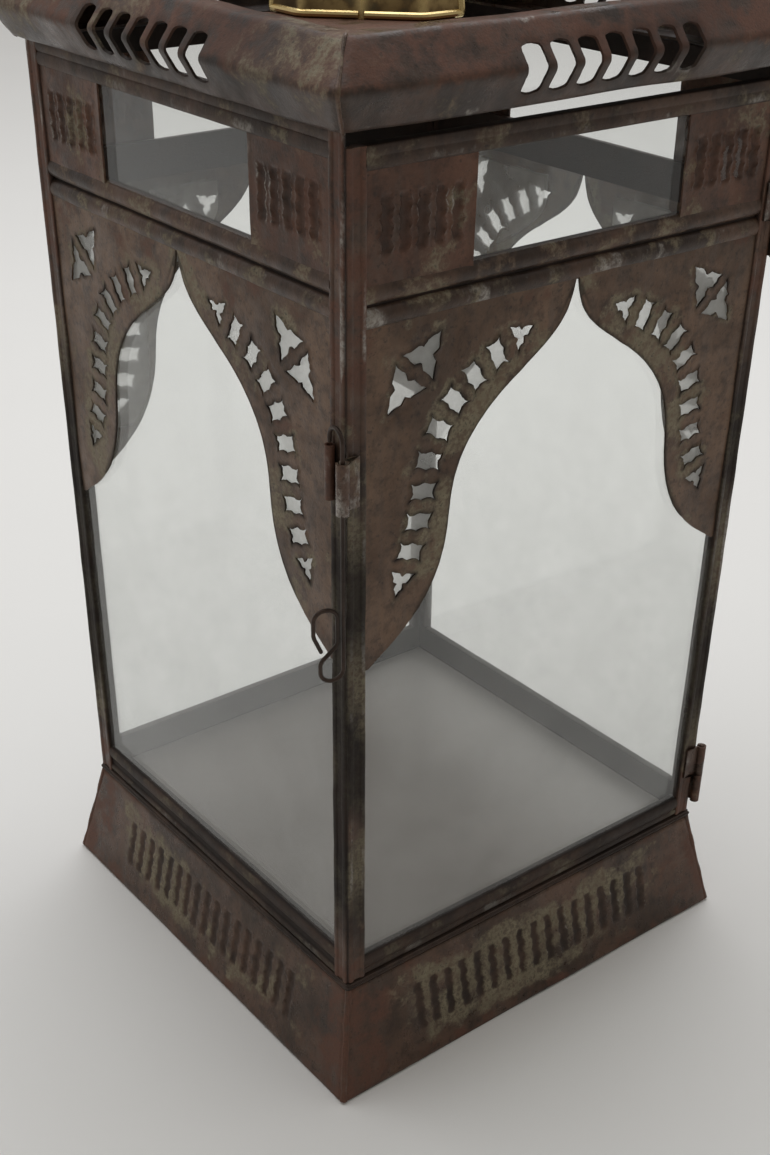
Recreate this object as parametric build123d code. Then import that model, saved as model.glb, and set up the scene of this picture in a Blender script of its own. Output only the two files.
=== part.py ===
from build123d import *
import math
import os

# Moroccan metal lantern: a glazed square body on a flared sheet-metal base, with a hinged front
# door, a slotted eave and a brass roof.
# Millimetres.  +X is the lantern's right, +Y its back, +Z up; the door is the front (-Y) face.
# The origin is the middle of the footprint, on the table.

# ---------------------------------------------------------------- driving dimensions
BASE_H = 51.3            # height of the base, up to the floor of the body
BASE_FOOT = 110.5        # half width of the base on the table
BODY_FOOT = 100.0        # half width of the glazed body at its foot
FLARE = 0.01523          # how far each face leans out, per unit of height
FRAME_TOP = 339.9        # top of the three fixed faces, above the base
DOOR_CLEARANCE = 0.6     # gap under the door
DOOR_TOP = 334.9         # top of the door, above the base
DOOR_DROP = 3.4          # how much lower the door's features sit than the fixed faces'
EAVE_NOSE = 119.3        # half width of the eave's nose before it is rounded
EAVE_H = 28.5            # height of the eave
DOME_H = 96.0            # height of the brass roof
RING_R = 21.0            # centreline radius of the hanging ring

BEAD_H = 2.5             # flat bead between base and body
HEM = 7.0                # width of the hem turned in under the base

SHEET = 1.2              # folded sheet steel of the base and the eave
THIN_SHEET = 0.8         # pierced and embossed plates, straps
GLASS = 2.0

# ---------------------------------------------------------------- body frame sections
FRAME_DEPTH = 5.0        # stiles and rails, outside to inside
STILE_W = 9.15           # stiles and bottom rail, as seen from outside
GROOVE_FRONT = -0.9      # the glazing groove runs between these depths below the outer face
GROOVE_BACK = -4.0
GROOVE_REACH = 2.6       # how far the groove goes into a stile or rail
TUCK = 2.0               # how far panes and plates reach into the groove
SHEET_BACK = -1.8        # plates and spandrels lie just inside the groove's front lip
SHEET_FRONT = SHEET_BACK + THIN_SHEET
PANE_BACK = -3.9         # the glass lies behind them
DOOR_GAP = 0.85          # from the corner's diagonal to each of the two stiles beside the door
SOLDERED = 0.02          # the same, at a soldered corner

# heights of the door's features, above the base
MID_RAIL_LOW = 274.9
MID_RAIL_HIGH = 290.6
WINDOW_TOP = 327.0
WINDOW_HALF = 50.3       # half width of the upper window, between the embossed plates
BEAD_GROOVE = 1.2        # dark line between the mid rail's two beads

# ---------------------------------------------------------------- spandrels
# Edge of a spandrel: (distance from the face's middle, depth below the mid rail), from the point
# under the rail down to the tip on the stile.
ARCH_EDGE = [(0.6, 0.0), (4.0, 10.5), (13.2, 20.2), (41.6, 41.1), (54.3, 63.0),
             (57.3, 86.0), (66.2, 108.0), (91.6, 129.4)]
BAND = [(26.0, 15.2), (55.5, 33.2), (66.5, 54.0), (70.3, 76.4), (77.4, 97.6)]
BAND_MOTIFS = 10         # pierced motifs along the band, a trefoil at each end
STAR_LENGTH = 7.2        # along the band, from point to point
STAR_WIDTH = 12.4        # across the band
END_LEAF = (6.6, 2.5)    # reach of a trefoil's three points, and of its waists
CORNER_LEAF = (10.4, 4.1)
CORNER_MOTIFS = [((68.7, 13.7), 130), ((78.5, 24.0), -50)]   # place, and where a point looks

# ---------------------------------------------------------------- chiselled strokes
STROKE_W = 4.0
STROKE_DEPTH = 0.4       # how deep a stroke is pressed into the sheet
BASE_STROKES = 17
BASE_STROKE_PITCH = 8.2
BASE_STROKE_H = 17.0
BASE_STROKE_Z = 25.0     # middle of the row, above the table
PLATE_STROKES = 5
PLATE_STROKE_PITCH = 7.4
PLATE_STROKE_H = 15.5

# ---------------------------------------------------------------- eave
EAVE_LIP = 109.75        # half width at the lower lip
EAVE_TOP_LIP = 106.5
EAVE_NOSE_RISE = 13.7    # height of the nose above the lower lip
EAVE_NOSE_R = 9.5
EAVE_INNER = 98.5        # inner edge of both flanges
SLITS = 7
SLIT_PITCH = 12.3
SLIT_W = 8.8
SLIT_H = 16.6
SLIT_RISE = 13.0         # middle of the slits above the lower lip
GUSSET_LEG = 62.0        # legs of the corner plates under the eave's top flange

# ---------------------------------------------------------------- roof
DOME_HALF = 94.0         # half width of the roof's foot
DOME_CHAMFER = 113.0     # distance from the axis to its four cut corners
DOME_NECK = 0.14         # size of the neck, as a share of the foot
DOME_BANDS = 10
ARCH_HALF = 50.0         # vent arch in each side of the roof
ARCH_SHOULDER = 9.0
ARCH_RISE = 27.0
RING_WIRE = 2.6

# ---------------------------------------------------------------- hinges and latch
HINGE_OUT = 1.2          # the hinge axis stands this far outside both faces of the corner
KNUCKLE_R = 2.2
HINGE_PIN_R = 1.0
HINGE_PIN_BORE = 1.06
KNUCKLE_H = 14.8
KNUCKLE_GAP = 0.4
LEAF_REACH = 9.0                 # leaves soldered on the stiles, from the hinge axis
LEAF_LIFT = 0.06                 # solder under a leaf or a strap
HINGE_HEIGHTS = (6.0, 266.0)     # bottoms of the two hinges, above the base
WIRE_R = 0.8
DOOR_BARREL = (-3.0, -2.4)       # barrel axes, from the front left corner of the body
FRAME_BARREL = (-1.8, 6.5)
DOOR_BARREL_R = 2.4
DOOR_BARREL_BORE = 0.88
STRAP_REACH = 9.6                # the strap that carries it, from the barrel's axis
DOOR_BARREL_Z = (213.5, 232.6)
FRAME_BARREL_R = 1.8
FRAME_BARREL_BORE = 1.2
FRAME_BARREL_Z = (215.8, 236.0)
HOOK_TIP_Z = 236.5
HOOK_LEG = 2.5
CURL_TOP = 184.0

# worked out
LEAN = math.atan(FLARE)
EAVE_Z = BASE_H + FRAME_TOP + 0.1
EAVE_TOP = EAVE_Z + EAVE_H
DOME_Z = EAVE_TOP - SHEET
DOME_TOP = DOME_Z + DOME_H
SIDES = (("front", 0), ("right", 90), ("back", 180), ("left", 270))

parts = {}


# ---------------------------------------------------------------- helpers
def half_width(t):
    """Half width of a body face at height t above the base."""
    return BODY_FOOT + FLARE * t


def sheet_reach(t):
    """How far from the face's middle a plate tucked into the stile's groove reaches."""
    return half_width(t) - STILE_W + TUCK


def slab(points, back, front):
    """Plate with a straight-sided outline between two depths."""
    outline = make_face(Polyline(*points, close=True))
    return extrude(Pos(0, 0, back) * outline, front - back, dir=(0, 0, 1))


def edge_strip(low, high, left, right, back, front):
    """Plate between two heights; left and right are insets from the face's leaning edges."""
    return slab([(-half_width(low) + left, low), (half_width(low) - right, low),
                 (half_width(high) - right, high), (-half_width(high) + left, high)], back, front)


def stand(solid):
    """Stand a piece drawn on the flat up on the front face of the body."""
    face = Plane(origin=(0, -BODY_FOOT, BASE_H), x_dir=(1, 0, 0),
                 z_dir=(0, -math.cos(LEAN), -math.sin(LEAN)))
    return face.location * solid


def turned(solid, turn):
    return Rot(0, 0, turn) * solid


def sector(gap_left=SOLDERED, gap_right=SOLDERED):
    """Everything in front of the two mitre planes of the front face."""
    a, b, far = gap_left * math.sqrt(2), gap_right * math.sqrt(2), 200
    wedge = make_face(Polyline(((a - b) / 2, -(a + b) / 2), (-far + a, -far), (far - b, -far),
                               close=True))
    return extrude(Pos(0, 0, -20) * wedge, 700, dir=(0, 0, 1))


def group(solids):
    """Several separate solids in one node."""
    return Compound(children=[piece for item in solids for piece in item.solids()])


# ---------------------------------------------------------------- base
def base_panel():
    """One leaning sheet of the base, with a hem turned in at the foot and chiselled strokes."""
    top_z = BASE_H - BEAD_H
    lean = (BASE_FOOT - BODY_FOOT) / BASE_H
    top = BASE_FOOT - lean * top_z
    inside = SHEET * math.sqrt(1 + lean ** 2)
    section = [(-BASE_FOOT, 0), (-top, top_z), (-top + inside, top_z),
               (-BASE_FOOT + inside + lean * SHEET, SHEET), (-BASE_FOOT + HEM, SHEET),
               (-BASE_FOOT + HEM, 0)]
    sheet = Plane.YZ * make_face(Polyline(*section, close=True))
    panel = extrude(sheet, 130, both=True, dir=(1, 0, 0))
    for k in range(BASE_STROKES):
        x = (k - (BASE_STROKES - 1) / 2) * BASE_STROKE_PITCH
        y = -(BASE_FOOT - lean * BASE_STROKE_Z)
        stroke = Box(STROKE_W, 2 * STROKE_DEPTH, BASE_STROKE_H)
        panel -= Pos(x, y, BASE_STROKE_Z) * Rot(-math.degrees(math.atan(lean)), 0, 0) * stroke
    return panel & sector()


def build_base():
    for name, turn in SIDES:
        parts["base_panel_" + name] = turned(base_panel(), turn)
    outer, inner, low = 101.6, 94.6, BASE_H - BEAD_H
    strip = slab([(-outer, -outer), (outer, -outer), (outer, -inner), (-outer, -inner)],
                 low, BASE_H) & sector()
    parts["base_bead"] = group([turned(strip, 90 * k) for k in range(4)])
    parts["floor_plate"] = Pos(0, 0, BASE_H - SHEET / 2) * Box(2 * inner, 2 * inner, SHEET)


# ---------------------------------------------------------------- body faces
def stile(low, high, side):
    """Upright of a face; side is -1 for the left one and 1 for the right one."""
    def outline(inset_outer, inset_inner):
        points = []
        for t, inset in ((low, inset_outer), (low, inset_inner), (high, inset_inner),
                         (high, inset_outer)):
            points.append((side * (half_width(t) - inset), t))
        return points
    bar = slab(outline(0, STILE_W), -FRAME_DEPTH, 0)
    groove = slab(outline(STILE_W - GROOVE_REACH, STILE_W + 1), GROOVE_BACK, GROOVE_FRONT)
    return bar - groove


def rail(low, high, groove_low, groove_high):
    """Cross bar of a face, with a glazing groove along its lower or upper edge or both."""
    bar = edge_strip(low, high, STILE_W, STILE_W, -FRAME_DEPTH, 0)
    if groove_low:
        bar -= edge_strip(low - 1, low + GROOVE_REACH, 0, 0, GROOVE_BACK, GROOVE_FRONT)
    if groove_high:
        bar -= edge_strip(high - GROOVE_REACH, high + 1, 0, 0, GROOVE_BACK, GROOVE_FRONT)
    return bar


def star():
    """Pierced four-pointed motif, wide across the band, each long side cut in two scallops."""
    x, y = STAR_LENGTH / 2, STAR_WIDTH / 2
    points = [(x, y), (x - 0.8, y / 2), (x - 0.3, 0), (x - 0.8, -y / 2), (x, -y), (0, 1.0 - y)]
    points += [(-a, -b) for a, b in points]
    return make_face(Polyline(*points, close=True))


def trefoil(reach, waist):
    """Pierced motif of three pointed leaves, one of them along +X."""
    points = []
    for k in range(3):
        for at, turn in ((reach, 0), (0.56 * reach, 22), (waist, 60), (0.56 * reach, 98)):
            a = math.radians(120 * k + turn)
            points.append((at * math.cos(a), at * math.sin(a)))
    return make_face(Polyline(*points, close=True))


def spandrel(rail_low, side):
    """Pierced corner plate between the mid rail and one stile, ending in a long tip."""
    def at(point):
        return side * point[0], rail_low - point[1]
    edge = Spline(*[at(p) for p in ARCH_EDGE])
    tip, start = at(ARCH_EDGE[-1]), at(ARCH_EDGE[0])
    high = rail_low + TUCK
    border = Polyline(tip, (side * sheet_reach(tip[1]), tip[1]),
                      (side * sheet_reach(high), high), (start[0], high), start)
    plate = make_face([edge, border])
    band = Spline(*[at(p) for p in BAND])
    for k in range(BAND_MOTIFS):
        share = k / (BAND_MOTIFS - 1)
        spot, along = band @ share, band % share
        angle = math.degrees(math.atan2(along.Y, along.X))
        if k == 0:
            motif = Rot(0, 0, angle + 180) * trefoil(*END_LEAF)
        elif k == BAND_MOTIFS - 1:
            motif = Rot(0, 0, angle) * trefoil(*END_LEAF)
        else:
            motif = Rot(0, 0, angle) * star()
        plate -= Pos(spot.X, spot.Y) * motif
    for spot, look in CORNER_MOTIFS:
        x, t = at(spot)
        plate -= Pos(x, t) * Rot(0, 0, 90 + side * (look - 90)) * trefoil(*CORNER_LEAF)
    return extrude(Pos(0, 0, SHEET_BACK) * plate, THIN_SHEET, dir=(0, 0, 1))


def embossed_plate(low, high, side):
    """Blind plate between the upper window and one stile, with pressed strokes."""
    foot, top = low - TUCK, high + TUCK
    plate = slab([(side * WINDOW_HALF, foot), (side * sheet_reach(foot), foot),
                  (side * sheet_reach(top), top), (side * WINDOW_HALF, top)],
                 SHEET_BACK, SHEET_FRONT)
    middle = side * (WINDOW_HALF + half_width(low) - STILE_W) / 2
    for k in range(PLATE_STROKES):
        x = middle + (k - (PLATE_STROKES - 1) / 2) * PLATE_STROKE_PITCH
        stroke = Box(STROKE_W, PLATE_STROKE_H, 2 * STROKE_DEPTH)
        plate -= Pos(x, (low + high) / 2, SHEET_FRONT) * stroke
    return plate


def build_face(name, turn, foot, top, lift, gap_left, gap_right):
    """One glazed face, fixed or the door.  lift raises its features above the door's."""
    rails = [(foot, STILE_W + DOOR_CLEARANCE + lift, False, True),
             (MID_RAIL_LOW + lift, MID_RAIL_HIGH + lift, True, True),
             (WINDOW_TOP + lift, top, True, False)]
    (_, sill, _, _), (mid_low, mid_high, _, _), (head, _, _, _) = rails

    def put(node, pieces, mitred=False):
        placed = [stand(piece) for piece in pieces]
        if mitred:
            placed = [piece & sector(gap_left, gap_right) for piece in placed]
        parts[name + "_" + node] = group([turned(piece, turn) for piece in placed])

    put("stiles", [stile(foot, top, side) for side in (-1, 1)], mitred=True)
    bars = [rail(*row) for row in rails]
    bead_line = (mid_low + mid_high) / 2
    bars[1] -= edge_strip(bead_line - BEAD_GROOVE / 2, bead_line + BEAD_GROOVE / 2,
                          0, 0, -0.7, 1)
    put("rails", bars)
    inset = STILE_W - TUCK
    put("pane_lower", [edge_strip(sill - TUCK, mid_low + TUCK, inset, inset,
                                  PANE_BACK, PANE_BACK + GLASS)])
    put("pane_upper", [edge_strip(mid_high - TUCK, head + TUCK, inset, inset,
                                  PANE_BACK, PANE_BACK + GLASS)])
    put("plates", [embossed_plate(mid_high, head, side) for side in (-1, 1)])
    put("spandrel_left", [spandrel(mid_low, -1)])
    put("spandrel_right", [spandrel(mid_low, 1)])


def build_body():
    fixed = {"foot": 0, "top": FRAME_TOP, "lift": DOOR_DROP}
    build_face("left", 270, **fixed, gap_left=SOLDERED, gap_right=DOOR_GAP)
    build_face("back", 180, **fixed, gap_left=SOLDERED, gap_right=SOLDERED)
    build_face("right", 90, **fixed, gap_left=DOOR_GAP, gap_right=SOLDERED)
    build_face("door", 0, foot=DOOR_CLEARANCE, top=DOOR_TOP, lift=0,
               gap_left=DOOR_GAP, gap_right=DOOR_GAP)


# ---------------------------------------------------------------- eave
def eave_piece():
    """One side of the eave: a folded sheet with a rounded nose and flanges turned inwards."""
    corners = [(-EAVE_INNER, 0), (-EAVE_LIP, 0), (-EAVE_NOSE, EAVE_NOSE_RISE),
               (-EAVE_TOP_LIP, EAVE_H), (-EAVE_INNER, EAVE_H)]
    block = make_face(Polyline(*corners, close=True))
    hollow = offset(block, -SHEET, kind=Kind.INTERSECTION)
    nose = block.vertices().sort_by(Axis.X)[0]
    inner_nose = hollow.vertices().sort_by(Axis.X)[0]
    section = fillet(nose, EAVE_NOSE_R) - fillet(inner_nose, EAVE_NOSE_R - SHEET)
    section -= Pos(-EAVE_INNER, EAVE_H / 2) * Rectangle(2.2 * SHEET, EAVE_H - 2 * SHEET)
    piece = extrude(Plane.YZ * section, 130, both=True, dir=(1, 0, 0))
    for k in range(SLITS):
        x = (k - (SLITS - 1) / 2) * SLIT_PITCH
        piece -= Pos(x, -EAVE_LIP - 5, SLIT_RISE) * Box(SLIT_W, 20, SLIT_H)
    return Pos(0, 0, EAVE_Z) * piece & sector()


def build_eave():
    for name, turn in SIDES:
        parts["eave_" + name] = turned(eave_piece(), turn)
    corner = EAVE_TOP_LIP - 2.5
    plate = slab([(-corner, -corner), (-corner + GUSSET_LEG, -corner),
                  (-corner, -corner + GUSSET_LEG)], DOME_Z - SHEET, DOME_Z)
    parts["eave_gussets"] = group([turned(plate, 90 * k) for k in range(4)])


# ---------------------------------------------------------------- brass roof
def roof_section(half, chamfer, height):
    """Square with cut corners at a height."""
    cut = chamfer * math.sqrt(2) - half
    points = []
    for k in range(4):
        a = math.radians(90 * k)
        for x, y in ((-cut, -half), (cut, -half)):
            points.append((x * math.cos(a) - y * math.sin(a), x * math.sin(a) + y * math.cos(a)))
    return Pos(0, 0, height) * make_face(Polyline(*points, close=True))


def roof_shell(inset):
    """Bell-shaped body of the roof, shrunk by inset."""
    sections = []
    for k in range(DOME_BANDS + 1):
        share = k / DOME_BANDS
        size = DOME_NECK + (1 - DOME_NECK) * (math.cos(math.pi * share) + 1) / 2
        sections.append(roof_section(DOME_HALF * size - inset, DOME_CHAMFER * size - inset,
                                     DOME_H * share))
    return loft(sections, ruled=True)


def build_roof():
    """Four pressed gores seamed together along the cut corners, with a collar, finial and ring."""
    shell = roof_shell(0) - roof_shell(SHEET)
    arch = make_face([Polyline((-ARCH_HALF, ARCH_SHOULDER), (-ARCH_HALF, -1), (ARCH_HALF, -1),
                               (ARCH_HALF, ARCH_SHOULDER)),
                      ThreePointArc((-ARCH_HALF, ARCH_SHOULDER), (0, ARCH_RISE),
                                    (ARCH_HALF, ARCH_SHOULDER))])
    tunnel = extrude(Plane.XZ * arch, 130, both=True)
    shell -= tunnel
    shell -= turned(tunnel, 90)
    gore = Pos(0, 0, DOME_Z) * (shell & sector())
    for name, turn in SIDES:
        parts["roof_" + name] = turned(gore, turn)

    neck = DOME_HALF * DOME_NECK
    collar = make_face(Polyline((0, 0), (neck + 3, 0), (neck + 3, 3), (neck, 5), (neck + 1, 8),
                                (6, 12), (0, 12), close=True))
    parts["neck_collar"] = Pos(0, 0, DOME_TOP) * revolve(Plane.XZ * collar, Axis.Z)

    ball_z, ball_r, stem_r = 12.0, 9.5, 4.0
    finial = Pos(0, 0, ball_z) * Sphere(ball_r) + Pos(0, 0, 13) * Cylinder(stem_r, 26)
    finial = split(finial, Plane.XY, keep=Keep.TOP)
    finial_z = DOME_TOP + 12
    ring_z = finial_z + 24 + RING_R
    ring = Pos(0, 0, ring_z) * Rot(90, 0, 0) * Torus(RING_R, RING_WIRE)
    parts["finial"] = Pos(0, 0, finial_z) * finial - ring
    parts["hanging_ring"] = ring


# ---------------------------------------------------------------- hinges
def corner_plane(x_side, outside):
    """Plane whose Z runs up a front corner of the body, standing outside both its faces."""
    spot = BODY_FOOT + outside
    return Plane(origin=(x_side * spot, -spot, BASE_H), x_dir=(1, 0, -x_side * FLARE),
                 z_dir=(x_side * FLARE, -FLARE, 1))


def build_hinges():
    place = corner_plane(1, HINGE_OUT).location
    leaf_middle = HINGE_OUT - LEAF_LIFT - THIN_SHEET / 2
    frame_side, door_side, pins = [], [], []
    for low in HINGE_HEIGHTS:
        split_z = low + KNUCKLE_H
        high = split_z + KNUCKLE_GAP + KNUCKLE_H
        middle = low + KNUCKLE_H / 2
        leaf = Pos(-leaf_middle, LEAF_REACH / 2, middle) * Box(THIN_SHEET, LEAF_REACH, KNUCKLE_H)
        barrel = Pos(0, 0, middle) * Cylinder(KNUCKLE_R, KNUCKLE_H)
        bore = Pos(0, 0, middle) * Cylinder(HINGE_PIN_R + SOLDERED, KNUCKLE_H + 1)
        frame_side.append(place * (barrel + leaf - bore))
        middle = high - KNUCKLE_H / 2
        leaf = Pos(-LEAF_REACH / 2, leaf_middle, middle) * Box(LEAF_REACH, THIN_SHEET, KNUCKLE_H)
        barrel = Pos(0, 0, middle) * Cylinder(KNUCKLE_R, KNUCKLE_H)
        bore = Pos(0, 0, middle) * Cylinder(HINGE_PIN_BORE, KNUCKLE_H + 1)
        door_side.append(place * (barrel + leaf - bore))
        pins.append(place * Pos(0, 0, (low + high) / 2) * Cylinder(HINGE_PIN_R, high - low + 2))
    parts["hinge_knuckles_frame"] = group(frame_side)
    parts["hinge_knuckles_door"] = group(door_side)
    parts["hinge_pins"] = group(pins)


# ---------------------------------------------------------------- latch
def build_latch():
    place = corner_plane(-1, 0).location
    low, high = DOOR_BARREL_Z
    x, y = DOOR_BARREL
    middle = (low + high) / 2
    strap = Pos(x + STRAP_REACH / 2, -LEAF_LIFT - THIN_SHEET / 2, middle) * Box(
        STRAP_REACH, THIN_SHEET, high - low)
    barrel = Pos(x, y, middle) * Cylinder(DOOR_BARREL_R, high - low)
    bore = Pos(x, y, middle) * Cylinder(DOOR_BARREL_BORE, high - low + 1)
    parts["latch_barrel_door"] = place * (barrel + strap - bore)

    low, high = FRAME_BARREL_Z
    middle = (low + high) / 2
    fx, fy = FRAME_BARREL
    solder = Pos(-0.5 - LEAF_LIFT / 2, fy, middle) * Box(1 - LEAF_LIFT, 2.4, high - low)
    barrel = Pos(fx, fy, middle) * Cylinder(FRAME_BARREL_R, high - low)
    bore = Pos(fx, fy, middle) * Cylinder(FRAME_BARREL_BORE, high - low + 1)
    parts["latch_barrel_frame"] = place * (barrel + solder - bore)

    leg_top = HOOK_TIP_Z + HOOK_LEG
    hook_r = math.hypot(fx - x, fy - y) / 2
    hook = [Line((fx, fy, HOOK_TIP_Z), (fx, fy, leg_top)),
            ThreePointArc((fx, fy, leg_top), ((fx + x) / 2, (fy + y) / 2, leg_top + hook_r),
                          (x, y, leg_top)),
            Line((x, y, leg_top), (x, y, CURL_TOP))]
    # the curl is an open S of two loops, flat, standing out to the left of the shank
    turns = [(0, CURL_TOP), (0, 148.5), (8.6, 148.5), (8.6, 156.5), (2.1, 163.0), (2.1, 177.5),
             (11.0, 177.5), (11.0, 167.5), (8.0, 160.5)]
    radii = [4.2, 4.2, 3.4, 3.6, 4.2, 4.2, 5.0]
    out = Vector(-0.95, 0.31, 0)
    curl_plane = Plane(origin=(x, y, 0), x_dir=out, z_dir=out.cross(Vector(0, 0, 1)))
    curl = curl_plane.location * FilletPolyline(*turns, radius=radii)
    path = Wire([edge for run in hook for edge in run.edges()] + list(curl.edges()))
    section = Plane(origin=(fx, fy, HOOK_TIP_Z), z_dir=(0, 0, 1)) * Circle(WIRE_R)
    parts["latch_wire"] = place * sweep(section, path=path)


build_base()
build_body()
build_eave()
build_roof()
build_hinges()
build_latch()

os.makedirs("parts", exist_ok=True)
for node, shape in parts.items():
    export_step(shape, "parts/" + node + ".step")
    print(f"{node:24s} {len(shape.solids())} solids {shape.volume:10.1f} mm3")
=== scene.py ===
import math

import bpy
import numpy as np
from mathutils import Matrix, Vector
from mathutils.geometry import delaunay_2d_cdt


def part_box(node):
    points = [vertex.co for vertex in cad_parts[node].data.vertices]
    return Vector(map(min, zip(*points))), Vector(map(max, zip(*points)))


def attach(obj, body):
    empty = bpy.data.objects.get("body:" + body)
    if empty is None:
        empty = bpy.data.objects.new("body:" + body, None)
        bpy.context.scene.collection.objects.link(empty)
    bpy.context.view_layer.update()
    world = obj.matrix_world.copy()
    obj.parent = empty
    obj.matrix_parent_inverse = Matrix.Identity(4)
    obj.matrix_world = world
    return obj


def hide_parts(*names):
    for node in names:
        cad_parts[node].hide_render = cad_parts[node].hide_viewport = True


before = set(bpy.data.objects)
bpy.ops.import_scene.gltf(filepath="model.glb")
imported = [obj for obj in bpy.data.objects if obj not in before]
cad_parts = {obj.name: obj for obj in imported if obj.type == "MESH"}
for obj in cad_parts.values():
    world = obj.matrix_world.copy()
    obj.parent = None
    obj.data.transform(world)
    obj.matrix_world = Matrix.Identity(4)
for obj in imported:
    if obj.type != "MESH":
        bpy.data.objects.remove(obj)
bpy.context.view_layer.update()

# Moroccan metal lantern: thin rusted sheet iron, glass and an aged brass roof.
# Lengths are millimetres; mesh_object turns them into metres.


def low_high(node):
    """Two corners of a node's box, in millimetres."""
    low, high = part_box(node)
    return np.array(low) * 1000, np.array(high) * 1000


# ---------------------------------------------------------------- sizes from the frame
_, FLOOR_TOP = low_high("floor_plate")
BASE_H = FLOOR_TOP[2]
PANEL_LOW, PANEL_HIGH = low_high("base_panel_front")
BASE_FOOT = -PANEL_LOW[1]
PANEL_TOP = PANEL_HIGH[2]
BEAD_LOW, BEAD_HIGH = low_high("base_bead")
_, STILES_HIGH = low_high("back_stiles")
DOOR_LOW, DOOR_HIGH = low_high("door_stiles")
EAVE_LOW, EAVE_HIGH = low_high("eave_front")
ROOF_LOW, ROOF_HIGH = low_high("roof_front")
RING_LOW, RING_HIGH = low_high("hanging_ring")
COLLAR_LOW, COLLAR_HIGH = low_high("neck_collar")

# ---------------------------------------------------------------- sizes of the body
BODY_FOOT = 100.0        # half width of the glazed body at its foot
FLARE = 0.01523          # how far each face leans out, per unit of height
LEAN = math.atan(FLARE)
FRAME_TOP = (STILES_HIGH[2] - BASE_H) / math.cos(LEAN)
DOOR_FOOT = (DOOR_LOW[2] - BASE_H) / math.cos(LEAN)
DOOR_TOP = (DOOR_HIGH[2] - BASE_H) / math.cos(LEAN)
DOOR_DROP = 3.4          # how much lower the door's features sit
STILE_W = 9.15
FRAME_DEPTH = 5.0
DOOR_GAP = 0.85          # from the corner's diagonal to the stiles beside the door
SHEET_FRONT = -1.0       # pierced and embossed plates lie this far behind the stiles' faces
THIN_SHEET = 0.8
TUCK = 2.0
MID_RAIL_LOW = 274.9
MID_RAIL_HIGH = 290.6
WINDOW_TOP = 327.0
WINDOW_HALF = 50.3
BEAD_GROOVE = 1.2

# spandrels: (distance from the face's middle, depth below the mid rail)
ARCH_EDGE = [(0.6, 0.0), (4.0, 10.5), (13.2, 20.2), (41.6, 41.1), (54.3, 63.0),
             (57.3, 86.0), (66.2, 108.0), (91.6, 129.4)]
BAND = [(26.0, 15.2), (55.5, 33.2), (66.5, 54.0), (70.3, 76.4), (77.4, 97.6)]
ARCH_POINTS = 140        # outline points that belong to the arch
BAND_MOTIFS = 10
STAR_LENGTH = 7.2        # along the band
STAR_WIDTH = 12.4        # across it
END_LEAF = (6.6, 2.5)    # reach of a trefoil's three points, and of its waists
CORNER_LEAF = (10.4, 4.1)
CORNER_MOTIFS = [((68.7, 13.7), 130), ((78.5, 24.0), -50)]   # place, and where a point looks

STROKE_W = 3.5
BASE_CORNER_R = 3.5
BASE_STROKES = 17
BASE_STROKE_PITCH = 8.2
BASE_STROKE_H = 18.0
BASE_STROKE_Z = 25.0
PLATE_STROKES = 5
PLATE_STROKE_PITCH = 7.4
PLATE_STROKE_H = 15.5

# eave
EAVE_LIP = 109.75
EAVE_TOP_LIP = 106.5
EAVE_NOSE = 117.7
EAVE_NOSE_RISE = 13.7
EAVE_NOSE_R = 3.6
EAVE_CORNER_R = 5.0
EAVE_INNER = 98.5
EAVE_H = EAVE_HIGH[2] - EAVE_LOW[2]
SLITS = 7
SLIT_PITCH = 12.3
SLIT_W = 8.8
SLIT_H = 16.6
SLIT_RISE = 13.0

# roof
DOME_HALF = 94.0
DOME_CHAMFER = 113.0
DOME_NECK = 0.14
DOME_H = ROOF_HIGH[2] - ROOF_LOW[2]
ARCH_HALF = 50.0
ARCH_SHOULDER = 9.0
ARCH_RISE = 27.0

# hinges and latch
HINGE_OUT = 1.2
KNUCKLE_R = 2.2
KNUCKLE_H = 14.8
KNUCKLE_GAP = 0.4
LEAF_REACH = 9.0
LEAF_OFFSET = 0.74       # middle of a leaf, from the hinge axis towards the body
HINGE_HEIGHTS = (6.0, 266.0)
HINGE_TONE = (0.6, 0.1, 0.2, 0.7)
WIRE_R = 0.8
DOOR_BARREL = (-3.0, -2.4)
DOOR_BARREL_R = 2.4
DOOR_BARREL_Z = (213.5, 232.6)
STRAP_REACH = 9.6
FRAME_BARREL = (-1.8, 6.5)
FRAME_BARREL_R = 1.8
FRAME_BARREL_BORE = 1.2
FRAME_BARREL_Z = (215.8, 236.0)
HOOK_TIP_Z = 236.5
HOOK_LEG = 2.5

SKIN = 0.25              # outer surfaces stay this far inside the part's box
TURNS = (0, 90, 180, 270)
SIDES = tuple(zip(("front", "right", "back", "left"), TURNS))
FACES = tuple(zip(("door", "right", "back", "left"), TURNS))


def half_width(t):
    """Half width of a body face at height t above the base."""
    return BODY_FOOT + FLARE * t


# ---------------------------------------------------------------- curves and plans
def wander(seed, scale, *coordinates):
    """Smooth irregular value between about -1 and 1."""
    draw = np.random.default_rng(1000 + seed)
    total = 0
    for _ in range(6):
        waves = draw.normal(size=len(coordinates)) / scale
        phase = draw.uniform(0, 2 * math.pi)
        total = total + np.sin(sum(w * c for w, c in zip(waves, coordinates)) + phase)
    return total / 2.6


def bump(x):
    """Round-topped ridge, 1 at the middle and 0 from |x| = 1 outwards."""
    return np.sqrt(clamp(1 - np.square(x)))


def clamp(x):
    """x kept between 0 and 1."""
    return np.clip(x, 0, 1)


def near(x, width):
    """1 where x is 0, fading to nothing within about two widths."""
    return np.exp(-(x / width) ** 2)


def row(count, pitch):
    """Evenly spaced middles about 0."""
    return [(k - (count - 1) / 2) * pitch for k in range(count)]


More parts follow.
